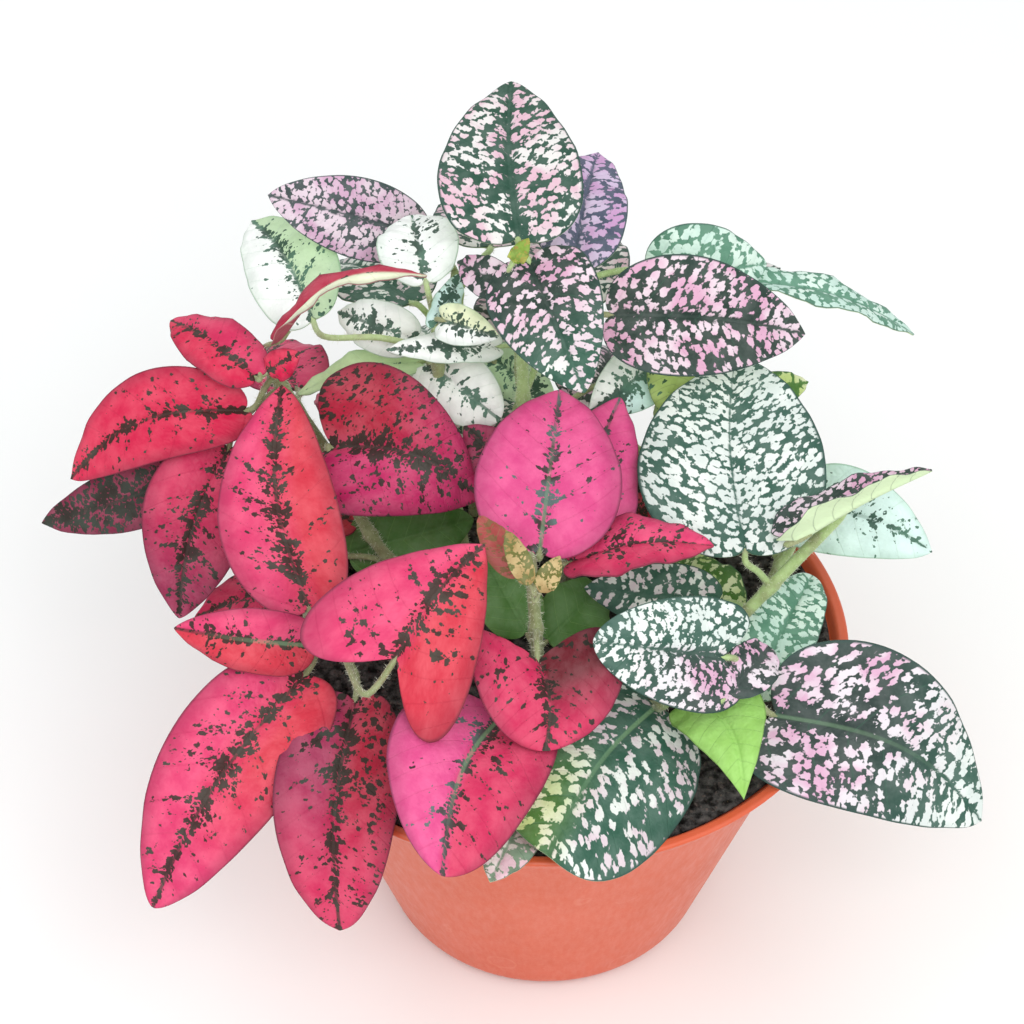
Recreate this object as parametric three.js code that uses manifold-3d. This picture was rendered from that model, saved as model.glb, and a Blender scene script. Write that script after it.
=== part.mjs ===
// Potted polka dot plant: rose, white and speckled stems in one plastic pot.
// Millimetres, +Z up, origin at the centre of the pot's underside.
import * as THREE from 'three';
import { mergeVertices } from 'three/addons/utils/BufferGeometryUtils.js';
import Module from 'manifold-3d';

const wasm = await Module();
wasm.setup();

// Pot
const potHeight = 78;
const rimRadius = 65;
const collarHeight = 4.1;
const collarFoot = potHeight - collarHeight;
const collarFlare = 2.2;
const collarFootRadius = rimRadius - collarFlare;
const lipWidth = 2.7;
const lipRounding = 0.6;
const bodyTopRadius = 58.8;
const baseRadius = 36.1;
const wall = 1.5;
const heelHeight = 4;
const heelBulge = [34.1, 1.4];
const standingRadius = 31.5;
const floorRadius = 31.2;
const ledgeHeight = collarFoot + wall;
const ledgeFall = 0.6;
const potSegments = 36;
const drainHoles = 6;
const drainHoleRadius = 4;
const drainHoleSides = 12;
const drainCircleRadius = 23;

// Soil
const soilTop = 76;
const soilDome = 0.4;
const soilRings = 4;
const soilLump = 0.45;
const lumpWidth = 3.4;
const lumpShift = 1.3;
const lumpSlant = 1 / 3;
const calmCentre = 12;
const clearance = 0.3;
const stemHoleClearance = 0.6;
const stemHoleDepth = 25;
const stemHoleSides = 8;
const overcut = 1;

// Stems and stalks
const stemRadius = 1.5;
const stemSides = 6;
const stemSteps = 8;
const buriedLength = 24;
const stalkRadius = 0.75;
const stalkSides = 4;
const stalkSteps = 3;
const stalkRise = 0.06;
const stalkRunIn = 0.25;
const stalkSink = 2.4;

// Blades. A lobe over lobedBase gives more rows, crowded towards the base.
const bladeThickness = 0.8;
const narrowBlade = 16;
const shortBlade = 38;
const gridColumns = { narrow: 2, wide: 4 };
const gridRows = { narrow: 4, short: 5, long: 6, lobed: 7 };
const lobedBase = 5;
const lobedCrowding = 1.5;
const marginCurl = 0.18;
const marginWave = 0.7;
const wavesPerBlade = 2.5;
const waveTurnPerLeaf = 2.4;
const waveTurnPerSide = 1.9;
const lobeScale = 27 / 4;
const lobeRoundness = 0.6;

// Viewpoint of the photograph, through which the places of the visible leaves were read
const eye = new THREE.Vector3(-7.6, -456.6, 539.5);
const eyeTilt = THREE.MathUtils.degToRad(43);
const focalPixels = 3010;
const pictureCentre = 512;
const lookAlong = new THREE.Vector3(0, Math.cos(eyeTilt), -Math.sin(eyeTilt));
const lookRight = new THREE.Vector3(1, 0, 0);
const lookUp = new THREE.Vector3(0, Math.sin(eyeTilt), Math.cos(eyeTilt));

// The point at this height that the photograph shows at this column and row
function seen(column, row, height) {
  const ray = lookAlong.clone()
    .addScaledVector(lookRight, (column - pictureCentre) / focalPixels)
    .addScaledVector(lookUp, (pictureCentre - row) / focalPixels);
  return eye.clone().addScaledVector(ray, (height - eye.z) / ray.z);
}

// The point at this height, this far from the pot's axis, degrees counted from +X towards +Y
function around(degrees, radius, height) {
  const angle = THREE.MathUtils.degToRad(degrees);
  return new THREE.Vector3(radius * Math.cos(angle), radius * Math.sin(angle), height);
}

// A leaf from the base of its blade to its tip. Options: from = where its stalk leaves the stem (0 to 1),
// roll in degrees, arch and bend of the midrib in mm, fold of the halves in degrees,
// lobe = how far the heart-shaped base reaches back in mm, full = how blunt the base is,
// point = how drawn out the tip is, facing = what its upper face turns towards.
function leaf(base, tip, width, options = {}) {
  return {
    from: 1, roll: 0, arch: 3, bend: 0, fold: 12, lobe: 3, full: 0.5, point: 0.8, facing: 'eye',
    ...options, base, tip, width,
  };
}

const up = { facing: 'up' };

// Each stem: where it stands in the soil, its way up, and its leaves
const stems = {
  rose_stem_1: {
    path: [[-42, -6, 78], [-46, -12, 88], [-50, -18, 101]],
    leaves: [
      leaf(seen(309, 607, 104), seen(282, 385, 128), 26, { arch: 2, bend: -4 }),
      leaf(seen(307, 645, 104), seen(174, 628, 108), 14, { arch: 3, roll: -10 }),
      leaf(seen(304, 676, 96), seen(153, 907, 62), 28,
        { from: 0.8, arch: 9, bend: 3, full: 0.4, point: 0.7 }),
      leaf(seen(355, 702, 91), seen(340, 930, 58), 26,
        { from: 0.6, arch: 11, bend: 2.6, full: 0.42, point: 0.62 }),
      leaf(seen(396, 658, 112.2), seen(485, 544, 124), 37,
        { from: 0.7, bend: -1.5, lobe: 12, full: 0.3, point: 0.95 }),
    ],
  },
  rose_stem_2: {
    path: [[-2, -20, 78], [-2.5, -25, 100], [-4, -21, 122]],
    leaves: [
      leaf(seen(538, 661, 105), seen(545, 751, 96.5), 33,
        { from: 0.6, roll: -10, bend: -1.2, lobe: 7, full: 0.28, point: 0.55, fold: 16 }),
      leaf(seen(502, 717, 94.5), seen(442, 876, 88.5), 33,
        { from: 0.35, arch: 5, bend: 3.6, full: 0.38, point: 0.6 }),
      leaf(seen(518, 577, 118), seen(479, 516, 124), 7, { arch: 2, lobe: 0 }),
      leaf(seen(530, 585, 122), seen(506, 530, 128), 5, { arch: 1, lobe: 0 }),
      leaf(seen(540, 592, 120), seen(560, 556, 126), 5, { arch: 1, lobe: 0 }),
      leaf(seen(548, 640, 86), seen(604, 586, 85), 15, { from: 0.3, lobe: 1 }),
      leaf(seen(526, 632, 88), seen(488, 562, 94), 14, { from: 0.3, lobe: 1 }),
    ],
  },
  rose_stem_3: {
    path: [[4, 12, 78], [4, 6, 96], [0, -6, 112]],
    leaves: [
      leaf(seen(540, 549, 116), seen(560, 390, 130), 31, { arch: 2, full: 0.55, point: 0.75 }),
      leaf(seen(592, 545, 108), seen(620, 398, 122), 20, { from: 0.85, roll: 15, bend: -3 }),
      leaf(seen(573, 562, 112), seen(714, 546, 117), 19, { from: 0.9, roll: -52, arch: 3 }),
      leaf(seen(520, 480, 108), seen(464, 426, 119), 14, { from: 0.7 }),
      leaf(seen(600, 535, 100), seen(660, 498, 104), 12, { from: 0.7 }),
    ],
  },
  rose_stem_4: {
    path: [[-28, 10, 78], [-38, 13, 95], [-45, 15, 112]],
    leaves: [
      leaf(seen(333, 448, 116), seen(480, 497, 108), 34, { arch: 5, bend: -4, lobe: 8, full: 0.36 }),
      leaf(seen(350, 553, 86), seen(474, 519, 88), 18, { from: 0.3, lobe: 1 }),
      leaf(around(152, 48, 90), around(157, 80, 84), 21, { from: 0.5, ...up }),
      leaf(around(168, 48, 82), around(178, 76, 80), 20, { from: 0.2, ...up }),
    ],
  },
  rose_stem_5: {
    path: [[-34, 24, 81], [-44, 28, 98], [-56, 31, 120], [-61, 32, 130]],
    leaves: [
      leaf(seen(254, 376, 130), seen(171, 321, 128), 14, { arch: 3, roll: 20 }),
      leaf(seen(244, 411, 121), seen(71, 479, 104), 20, { from: 0.8, arch: 5, bend: 6 }),
      leaf(seen(200, 470, 104), seen(42, 523, 90), 15, { from: 0.6, arch: 4, bend: -0.8 }),
      leaf(seen(228, 450, 112), seen(179, 618, 84), 24, { from: 0.7, arch: 3, bend: 2.5 }),
      leaf(seen(268, 372, 131), seen(300, 352, 136), 7, { arch: 1, lobe: 0 }),
      leaf(seen(280, 340, 136), seen(427, 276, 150), 10, { arch: 7, roll: -68 }),
      leaf(around(140, 72, 108), around(131, 104, 92), 22, { from: 0.6, ...up }),
      leaf(around(126, 58, 90), around(122, 94, 78), 23, { from: 0.35, arch: 6, ...up }),
      leaf(around(140, 54, 84), around(142, 86, 79), 22, { from: 0.2, arch: 4, ...up }),
    ],
  },
  white_stem_1: {
    path: [[-18, 24, 78], [-22, 32, 104], [-24, 39, 131]],
    leaves: [
      leaf(seen(312, 318, 128), seen(252, 221, 126), 21, { from: 0.9, arch: 3, bend: 2 }),
      leaf(seen(425, 278, 143), seen(412, 216, 144), 18, { arch: 2, full: 0.6, point: 0.6 }),
      leaf(seen(448, 322, 138), seen(499, 337, 139), 9, { arch: 2 }),
      leaf(seen(438, 322, 136), seen(459, 274, 141), 7, { arch: 1, roll: 20 }),
      leaf(seen(410, 338, 126), seen(338, 312, 125), 12, { from: 0.85 }),
      leaf(seen(415, 364, 118), seen(298, 395, 116), 11, { from: 0.7, roll: 50 }),
      leaf(seen(432, 366, 120), seen(500, 420, 116), 16, { from: 0.85, full: 0.45, point: 0.55 }),
      leaf(around(112, 62, 100), around(108, 98, 86), 24, { from: 0.5, arch: 5, ...up }),
    ],
  },
  white_stem_2: {
    path: [[-8, 16, 78], [-9, 27, 96], [-6, 36, 113]],
    leaves: [
      leaf(seen(494, 347, 129), seen(386, 350, 131), 8, { roll: 20, arch: 1 }),
      leaf(seen(498, 362, 118), seen(556, 404, 114), 12),
      leaf(seen(645, 372, 119), seen(590, 412, 117), 14, { from: 0.8 }),
    ],
  },
  white_stem_3: {
    path: [[44, 4, 78], [50, 7, 92], [55, 9, 106]],
    leaves: [
      leaf(seen(792, 508, 104), seen(932, 552, 98), 20, { arch: 3, bend: -2.8, full: 0.4 }),
      leaf(around(34, 52, 92), around(48, 78, 82), 22, { from: 0.5, ...up }),
    ],
  },
  speckled_stem_1: {
    path: [[-4, 20, 78], [-5, 27, 112], [-6, 34, 156]],
    leaves: [
      leaf(seen(518, 238, 158), seen(511, 82, 168), 31, { arch: 2, bend: -1.2, full: 0.45 }),
      leaf(seen(530, 264, 154), seen(585, 393, 140), 24, { arch: 4, full: 0.45 }),
      leaf(seen(612, 315, 143), seen(805, 334, 136), 26, { from: 0.85, bend: -1.4 }),
      leaf(seen(500, 284, 150), seen(458, 262, 148), 9, { arch: 1 }),
      leaf(seen(514, 262, 160), seen(529, 238, 166), 4, { arch: 1, lobe: 0 }),
      leaf(around(86, 50, 128), around(84, 88, 122), 26, { from: 0.6, ...up }),
    ],
  },
  speckled_stem_2: {
    path: [[24, 26, 78], [25, 40, 106], [26, 52, 136]],
    leaves: [
      leaf(seen(572, 262, 146), seen(598, 153, 148), 20, { arch: 3, bend: -0.5 }),
      leaf(seen(655, 278, 134), seen(766, 264, 132), 22),
      leaf(seen(752, 282, 128), seen(914, 335, 114), 13, { from: 0.85, arch: 4, bend: 1.2, roll: -62 }),
      leaf(seen(742, 398, 114), seen(808, 382, 114), 9, { from: 0.6 }),
      leaf(seen(680, 362, 122), seen(672, 426, 114), 14, { from: 0.6 }),
      leaf(around(60, 70, 122), around(62, 102, 107), 24, { from: 0.8, arch: 5, ...up }),
      leaf(around(60, 56, 100), around(58, 88, 84), 24, { from: 0.5, arch: 5, ...up }),
      leaf(around(78, 58, 92), around(80, 94, 80), 24, { from: 0.3, arch: 6, ...up }),
      leaf(around(48, 46, 86), around(42, 76, 80), 22, { from: 0.15, arch: 4, ...up }),
    ],
  },
  speckled_stem_3: {
    path: [[32, -10, 78], [36, -12, 88], [49, -8, 104], [61, -3, 117]],
    leaves: [
      leaf(seen(745, 550, 110), seen(735, 358, 126), 40, { from: 0.6, bend: -2, point: 0.7 }),
      leaf(seen(800, 538, 117), seen(932, 470, 128), 20,
        { roll: -77, fold: 40, arch: 1, lobe: 6, full: 0.35 }),
      leaf(seen(706, 655, 90), seen(690, 594, 96), 7, { from: 0.3, lobe: 0 }),
      leaf(seen(720, 616, 83), seen(672, 556, 83), 17, { from: 0.15, ...up }),
    ],
  },
  speckled_stem_4: {
    path: [[38, -24, 78], [40, -26, 84], [40, -28, 94]],
    leaves: [
      leaf(seen(722, 657, 103), seen(593, 641, 111), 24, { arch: 3, lobe: 6, full: 0.32, point: 0.6 }),
      leaf(seen(712, 602, 89), seen(584, 588, 93), 15, { from: 0.3 }),
      leaf(seen(728, 694, 98), seen(770, 648, 99), 11, { arch: 2, lobe: 0, point: 0.5 }),
      leaf(seen(754, 690, 84), seen(812, 576, 87), 16, { from: 0.6, bend: -0.5, full: 0.4, point: 0.5 }),
      leaf(seen(776, 716, 88), seen(981, 821, 60), 36,
        { from: 0.8, arch: 6, bend: -6, lobe: 7, full: 0.4 }),
    ],
  },
  speckled_stem_5: {
    path: [[20, -22, 78], [22, -28, 84], [24, -33, 93]],
    leaves: [
      leaf(seen(655, 708, 86), seen(548, 856, 84), 40, { bend: 2.5, fold: 2, full: 0.36, point: 0.36 }),
      leaf(seen(702, 700, 89), seen(744, 800, 86), 19,
        { from: 0.8, bend: -3, lobe: 1, full: 0.3, point: 1.1 }),
      leaf(seen(520, 820, 80.5), seen(490, 882, 80.5), 12, { from: 0.3, arch: 1 }),
    ],
  },
  speckled_stem_6: {
    path: [[-16, 40, 78], [-18, 48, 106], [-20, 55, 134]],
    leaves: [
      leaf(seen(420, 236, 138), seen(268, 195, 144), 18, { arch: 2, bend: 0.3, full: 0.6 }),
      leaf(around(100, 72, 128), around(97, 106, 110), 26, { from: 0.9, arch: 5, ...up }),
      leaf(around(118, 64, 124), around(120, 100, 110), 24, { from: 0.6, arch: 4, ...up }),
      leaf(around(95, 60, 108), around(92, 96, 98), 24, { from: 0.4, arch: 4, ...up }),
      leaf(around(106, 52, 84), around(103, 86, 79), 23, { from: 0.15, arch: 4, ...up }),
    ],
  },
};

// Share of the full width at this place along the midrib, 0 at both ends and 1 at the widest
function widthShare(blade, along) {
  const widest = blade.full / (blade.full + blade.point);
  const most = widest ** blade.full * (1 - widest) ** blade.point;
  return along ** blade.full * (1 - along) ** blade.point / most;
}

// Directions of a blade: along its chord, across it, and out of its upper face
function bladeFrame(blade) {
  const along = blade.tip.clone().sub(blade.base);
  const length = along.length();
  along.normalize();
  const toward = blade.facing === 'up' ? new THREE.Vector3(0, 0, 1) : eye.clone().sub(blade.base).normalize();
  const face = toward.addScaledVector(along, -toward.dot(along)).normalize();
  face.applyAxisAngle(along, THREE.MathUtils.degToRad(blade.roll));
  const across = new THREE.Vector3().crossVectors(along, face);
  return { along, face, across, length };
}

// Middle of the blade's thickness, with the direction out of its upper face.
// along runs from 0 at the base to 1 at the tip, side from -1 to 1 across.
function bladePoint(blade, frame, number, along, side) {
  const share = widthShare(blade, along);
  const half = blade.width / 2 * share;
  const slope = Math.PI * blade.arch * Math.cos(Math.PI * along) / frame.length;
  const out = frame.face.clone().addScaledVector(frame.along, -slope).normalize();
  const bow = Math.sin(Math.PI * along);
  const root = Math.sqrt(along);
  const back = blade.lobe * (lobeScale * root * (1 - root) ** 2) ** lobeRoundness * Math.abs(side);
  const fold = THREE.MathUtils.degToRad(blade.fold);
  const turn = waveTurnPerLeaf * number + (side > 0 ? 0 : waveTurnPerSide);
  const ripple = share * Math.sin(2 * Math.PI * wavesPerBlade * along + turn);
  const rise = Math.abs(side) * half * Math.sin(fold) + side ** 2 * (marginWave * ripple - marginCurl * half);
  const place = blade.base.clone()
    .addScaledVector(frame.along, frame.length * along - back)
    .addScaledVector(frame.face, blade.arch * bow)
    .addScaledVector(frame.across, blade.bend * bow + side * half * Math.cos(fold))
    .addScaledVector(out, rise);
  return { place, out };
}

// Number of rows of a blade's grid: more on a long blade, and on one with a heart-shaped base
function bladeRows(blade, length) {
  if (blade.width < narrowBlade) return gridRows.narrow;
  if (blade.lobe > lobedBase) return gridRows.lobed;
  return length < shortBlade ? gridRows.short : gridRows.long;
}

// Closed solid of a blade: a grid on each face, split into triangles alike, and a rim between them
function bladeSolid(blade, number) {
  const frame = bladeFrame(blade);
  const columns = blade.width < narrowBlade ? gridColumns.narrow : gridColumns.wide;
  const rows = bladeRows(blade, frame.length);
  const crowding = rows === gridRows.lobed ? lobedCrowding : 1;
  const places = [];
  const rings = [];
  for (let row = 0; row <= rows; row++) {
    const even = row / rows;
    const along = ((even + 0.5 - 0.5 * Math.cos(Math.PI * even)) / 2) ** crowding;
    const end = row === 0 || row === rows;
    const ring = [];
    for (let column = 0; column <= columns; column++) {
      if (end && column > 0) {
        ring.push(ring[0]);
        continue;
      }
      const side = end ? 0 : 2 * column / columns - 1;
      const { place, out } = bladePoint(blade, frame, number, along, side);
      ring.push(places.length / 3);
      for (const lift of [bladeThickness / 2, -bladeThickness / 2]) {
        const corner = place.clone().addScaledVector(out, lift);
        places.push(corner.x, corner.y, corner.z);
      }
    }
    rings.push(ring);
  }
  const faces = [];
  const addFace = (a, b, c) => {
    if (a !== b && b !== c && c !== a) faces.push(a, b, c);
  };
  for (let row = 0; row < rows; row++) {
    for (let column = 0; column < columns; column++) {
      const [a, b] = [rings[row][column], rings[row][column + 1]];
      const [c, d] = [rings[row + 1][column + 1], rings[row + 1][column]];
      addFace(a, b, c);
      addFace(a, c, d);
      addFace(a + 1, c + 1, b + 1);
      addFace(a + 1, d + 1, c + 1);
    }
    for (const [column, turned] of [[0, true], [columns, false]]) {
      const [a, d] = [rings[row][column], rings[row + 1][column]];
      const [first, second] = turned ? [d, a] : [a, d];
      addFace(first, first + 1, second + 1);
      addFace(first, second + 1, second);
    }
  }
  return solidOf(new Float32Array(places), new Uint32Array(faces));
}

function solidOf(vertProperties, triVerts) {
  const mesh = new wasm.Mesh({ numProp: 3, vertProperties, triVerts });
  mesh.merge();
  return new wasm.Manifold(mesh);
}

function solidFrom(geometry) {
  const plain = geometry.clone();
  plain.deleteAttribute('normal');
  plain.deleteAttribute('uv');
  const merged = mergeVertices(plain, 1e-4);
  return solidOf(new Float32Array(merged.attributes.position.array), new Uint32Array(merged.index.array));
}

function geometryFrom(solid) {
  const mesh = solid.getMesh();
  const geometry = new THREE.BufferGeometry();
  geometry.setAttribute('position', new THREE.BufferAttribute(new Float32Array(mesh.vertProperties), 3));
  geometry.setIndex(new THREE.BufferAttribute(new Uint32Array(mesh.triVerts), 1));
  geometry.computeVertexNormals();
  return geometry;
}

// Round bar along a curve
function barSolid(curve, radius, sides, steps) {
  const section = new THREE.Shape();
  for (let corner = 0; corner < sides; corner++) {
    const angle = 2 * Math.PI * corner / sides;
    const [x, y] = [radius * Math.cos(angle), radius * Math.sin(angle)];
    if (corner === 0) section.moveTo(x, y);
    else section.lineTo(x, y);
  }
  section.closePath();
  return solidFrom(new THREE.ExtrudeGeometry(section, { steps, extrudePath: curve, bevelEnabled: false }));
}

function stemCurve(stem) {
  const points = stem.path.map((point) => new THREE.Vector3(...point));
  return new THREE.CatmullRomCurve3(points, false, 'centripetal');
}

// Stalk from the stem into the blade, ending along the midrib
function stalkSolid(stem, blade, number) {
  const start = stemCurve(stem).getPoint(blade.from);
  const frame = bladeFrame(blade);
  const inside = bladePoint(blade, frame, number, stalkSink / frame.length, 0).place;
  const reach = start.distanceTo(blade.base);
  const before = blade.base.clone().addScaledVector(frame.along, -stalkRunIn * reach);
  const middle = start.clone().lerp(before, 0.5);
  middle.z += stalkRise * reach;
  const curve = new THREE.CatmullRomCurve3([start, middle, before, blade.base, inside], false, 'centripetal');
  return barSolid(curve, stalkRadius, stalkSides, stalkSteps);
}

// A stem with its stalks and blades, grown as one body
function stemSolid(stem) {
  const [x, y] = stem.path[0];
  const foot = [new THREE.Vector3(x, y, soilTop - buriedLength), new THREE.Vector3(x, y, soilTop)];
  const points = foot.concat(stem.path.map((point) => new THREE.Vector3(...point)));
  const curve = new THREE.CatmullRomCurve3(points, false, 'centripetal');
  const solids = [barSolid(curve, stemRadius, stemSides, stemSteps)];
  stem.leaves.forEach((blade, number) => {
    solids.push(bladeSolid(blade, number), stalkSolid(stem, blade, number));
  });
  return wasm.Manifold.union(solids);
}

function lathe(profile) {
  const points = profile.map(([radius, height]) => new THREE.Vector2(radius, height));
  const geometry = new THREE.LatheGeometry(points, potSegments);
  geometry.rotateX(Math.PI / 2);
  return geometry;
}

// The pot's inside from its floor up to the collar, moved in and up by this gap
function potInside(gap) {
  return [
    [0, wall + gap],
    [floorRadius - gap, wall + gap],
    [baseRadius - wall - gap, heelHeight + gap],
    [bodyTopRadius - wall - gap, ledgeHeight - ledgeFall + gap],
    [collarFootRadius - wall - gap, ledgeHeight + gap],
  ];
}

function upright(radius, bottom, top, x, y, sides) {
  const geometry = new THREE.CylinderGeometry(radius, radius, top - bottom, sides);
  geometry.rotateX(Math.PI / 2);
  geometry.translate(x, y, (top + bottom) / 2);
  return solidFrom(geometry);
}

// Tapered pot with a collar round its rim and drain holes through its floor
function potSolid() {
  const outside = [
    [0, 0],
    [standingRadius, 0],
    heelBulge,
    [baseRadius, heelHeight],
    [bodyTopRadius, collarFoot],
    [collarFootRadius, collarFoot],
    [rimRadius, potHeight - lipRounding],
    [rimRadius - lipRounding, potHeight],
    [rimRadius - lipWidth + lipRounding, potHeight],
    [rimRadius - lipWidth, potHeight - lipRounding],
  ];
  let solid = solidFrom(lathe(outside.concat(potInside(0).reverse())));
  for (let hole = 0; hole < drainHoles; hole++) {
    const { x, y } = around(360 * hole / drainHoles, drainCircleRadius, 0);
    solid = solid.subtract(upright(drainHoleRadius, -overcut, wall + overcut, x, y, drainHoleSides));
  }
  return solid;
}

// Height of the soil's lumps, from -2 to 2, calm at the very centre
function lumpAt(x, y) {
  const [u, v] = [x / lumpWidth, y / lumpWidth];
  const wave = Math.sin(u + lumpShift) * Math.cos(v) + Math.sin(v + lumpSlant * u);
  return Math.min(1, Math.hypot(x, y) / calmCentre) * wave;
}

// Soil that fills the pot up to its collar, lumpy on top, with a plain hole for each stem
function soilSolid() {
  const edge = collarFootRadius - wall - clearance;
  const profile = potInside(clearance).concat([[edge, soilTop]]);
  for (let ring = 1; ring <= soilRings; ring++) {
    const share = 1 - ring / soilRings;
    profile.push([edge * share, soilTop + soilDome * (1 - share ** 2)]);
  }
  const geometry = lathe(profile);
  const places = geometry.attributes.position;
  for (let index = 0; index < places.count; index++) {
    const [x, y, z] = [places.getX(index), places.getY(index), places.getZ(index)];
    if (z > soilTop + clearance) places.setZ(index, z + soilLump * lumpAt(x, y));
  }
  let solid = solidFrom(geometry);
  const above = soilTop + soilDome + 2 * soilLump + overcut;
  for (const stem of Object.values(stems)) {
    const [x, y] = stem.path[0];
    const radius = stemRadius + stemHoleClearance;
    solid = solid.subtract(upright(radius, soilTop - stemHoleDepth, above, x, y, stemHoleSides));
  }
  return solid;
}

const plastic = new THREE.MeshStandardMaterial({ color: 0xd9775a, roughness: 0.45, metalness: 0 });
const earth = new THREE.MeshStandardMaterial({ color: 0x2a211b, roughness: 0.95, metalness: 0 });
const foliage = {
  rose: new THREE.MeshStandardMaterial({ color: 0xe0305f, roughness: 0.55, metalness: 0 }),
  white: new THREE.MeshStandardMaterial({ color: 0xe4f2e2, roughness: 0.55, metalness: 0 }),
  speckled: new THREE.MeshStandardMaterial({ color: 0x5f8f72, roughness: 0.55, metalness: 0 }),
};

const plant = new THREE.Group();

function addPiece(name, solid, material) {
  const mesh = new THREE.Mesh(geometryFrom(solid), material);
  mesh.name = name;
  plant.add(mesh);
}

addPiece('pot', potSolid(), plastic);
addPiece('soil', soilSolid(), earth);
for (const [name, stem] of Object.entries(stems)) {
  addPiece(name, stemSolid(stem), foliage[name.split('_')[0]]);
}

export default plant;
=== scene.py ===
# Potted polka dot plant: rose, white and speckled stems growing in one plastic pot
import math

import bmesh
import bpy
import numpy as np
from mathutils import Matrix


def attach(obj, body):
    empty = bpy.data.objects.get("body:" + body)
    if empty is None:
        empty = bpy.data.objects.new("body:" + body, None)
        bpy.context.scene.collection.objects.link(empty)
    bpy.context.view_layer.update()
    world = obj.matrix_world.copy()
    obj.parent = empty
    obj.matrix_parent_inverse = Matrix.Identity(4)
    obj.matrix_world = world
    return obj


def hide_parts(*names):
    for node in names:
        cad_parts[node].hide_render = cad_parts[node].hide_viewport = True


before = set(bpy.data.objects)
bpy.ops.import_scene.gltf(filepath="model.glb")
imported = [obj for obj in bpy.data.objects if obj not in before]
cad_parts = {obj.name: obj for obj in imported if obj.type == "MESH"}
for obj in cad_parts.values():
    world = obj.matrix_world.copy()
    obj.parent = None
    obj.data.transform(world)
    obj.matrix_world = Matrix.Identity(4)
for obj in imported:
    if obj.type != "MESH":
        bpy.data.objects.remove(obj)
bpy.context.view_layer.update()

# Sizes are in millimetres, and become metres where a mesh is made. Colours are in the 0 to 255 steps of a
# screen, and become linear where a socket or a point gets them
MM = 0.001

# Viewpoint of the photograph
EYE = np.array([-7.6, -456.6, 539.5])
EYE_TILT = math.radians(43)
FOCAL_PIXELS = 3010
PICTURE_SIDE = 1024
PICTURE_CENTRE = 512
SENSOR_WIDTH = 36
LOOK_ALONG = np.array([0, math.cos(EYE_TILT), -math.sin(EYE_TILT)])
LOOK_RIGHT = np.array([1.0, 0, 0])
LOOK_UP = np.array([0, math.sin(EYE_TILT), math.cos(EYE_TILT)])

# Pot
POT_HEIGHT = 78
RIM_RADIUS = 65
COLLAR_FOOT = 73.9
COLLAR_FOOT_RADIUS = 62.8
LIP_WIDTH = 2.7
LIP_ROUNDING = 0.6
BODY_TOP_RADIUS = 58.8
BASE_RADIUS = 36.1
WALL = 1.5
HEEL_HEIGHT = 4
HEEL_BULGE = (34.1, 1.4)
STANDING_RADIUS = 31.5
FLOOR_RADIUS = 31.2
LEDGE_HEIGHT = COLLAR_FOOT + WALL
LEDGE_FALL = 0.6
POT_SEGMENTS = 160
CORNER_STEPS = 4
CORNER_REACH = 0.45
SHARPEST_ROUNDING = math.radians(40)
DRAIN_HOLES = 6
DRAIN_HOLE_RADIUS = 4
DRAIN_HOLE_SIDES = 32
DRAIN_CIRCLE_RADIUS = 23

# Soil
SOIL_TOP = 76
SOIL_GAP = 0.3
SOIL_RINGS = 70
SOIL_SEGMENTS = 220
CRUMB_LIFT = 0.3
CRUMB_HEIGHT = 0.75
CRUMB_WIDTHS = (1.26, 7.92)  # lengths of the waves
CRUMB_WAVES = 26
CRUMB_GROWTH = 0.7  # a wave's height grows with its length to this power
CRUMB_SEED = 5
GRAIN_DENSITY = 0.5
GRAIN_SIZE = (0.35, 1.5)
GRAIN_MARGIN = 1.2
FLATTEST_GRAIN = (0.5, 0.5, 0.35)
FULLEST_GRAIN = (1.6, 1.0, 0.9)
GRAIN_LUMPS_PER_MM = 1.4
GRAIN_LUMP_HEIGHT = 0.6

# Stems, stalks and their hairs
STEM_RADIUS = 1.5
STEM_TAPER = 0.25
STEM_SIDES = 14
STEM_STEPS = 60
STEM_END = (0.85, 0.45)  # shares of the radius at the last two rings
NODE_SWELLING = 0.45
NODE_LENGTH = 1.3
BURIED_LENGTH = 24
STALK_RADIUS = 0.8
STALK_TAPER = 0.2
STALK_SIDES = 10
STALK_STEPS = 24
STALK_RISE = 0.06  # share of the stalk's reach
STALK_RUN_IN = 0.25  # share of the stalk's reach
STALK_SINK = 2.4
STALK_DROP = 0.7
STALK_END = 0.25  # how much thinner the stalk's end is
STALK_END_SHARE = 0.25  # share of the stalk over which its end thins
THINNEST_STALK = 0.55
FULL_STALK_BLADE = 50  # the blade's width over this is added to its stalk's size, 1 at most
HAIR_LENGTH = 0.9
HAIR_WIDTH = 0.045
HAIR_DENSITY = 1.6
HAIR_LEAN = 0.5
HAIR_SCALES = (0.4, 1.2)
HAIRLESS_FOOT = 1.5  # height above the soil
ALL_ROUND = (6.28, 6.28, 6.28)

# Blades
EDGE_THICKNESS = 0.22
MIDDLE_THICKNESS = 0.5
MARGIN_CURL = 0.18
MARGIN_WAVE = 0.7
WAVES_PER_BLADE = 2.5
WAVE_TURN_PER_LEAF = 2.4
WAVE_TURN_PER_SIDE = 1.9
LOBE_SCALE = 27 / 4  # brings the highest point of the lobe's curve to 1
LOBE_ROUNDNESS = 0.6
CRINKLE = 0.22
CRINKLES_PER_BLADE = 6.5
CRINKLE_TURN_PER_LEAF = 1.7
FULL_RELIEF_BLADE = 24  # narrower blades have a lower relief
MIDRIB_GROOVE = 0.5
MIDRIB_WIDTH = 0.9
MIDRIB_RIDGE = 0.5
QUILT_HEIGHT = 0.42
QUILT_RUN_IN = 3  # distance from the midrib where the quilt is at its full height
QUILT_ROUNDNESS = 0.8
QUILT_LEVEL = 0.6
VEIN_PAIRS = 6
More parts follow.
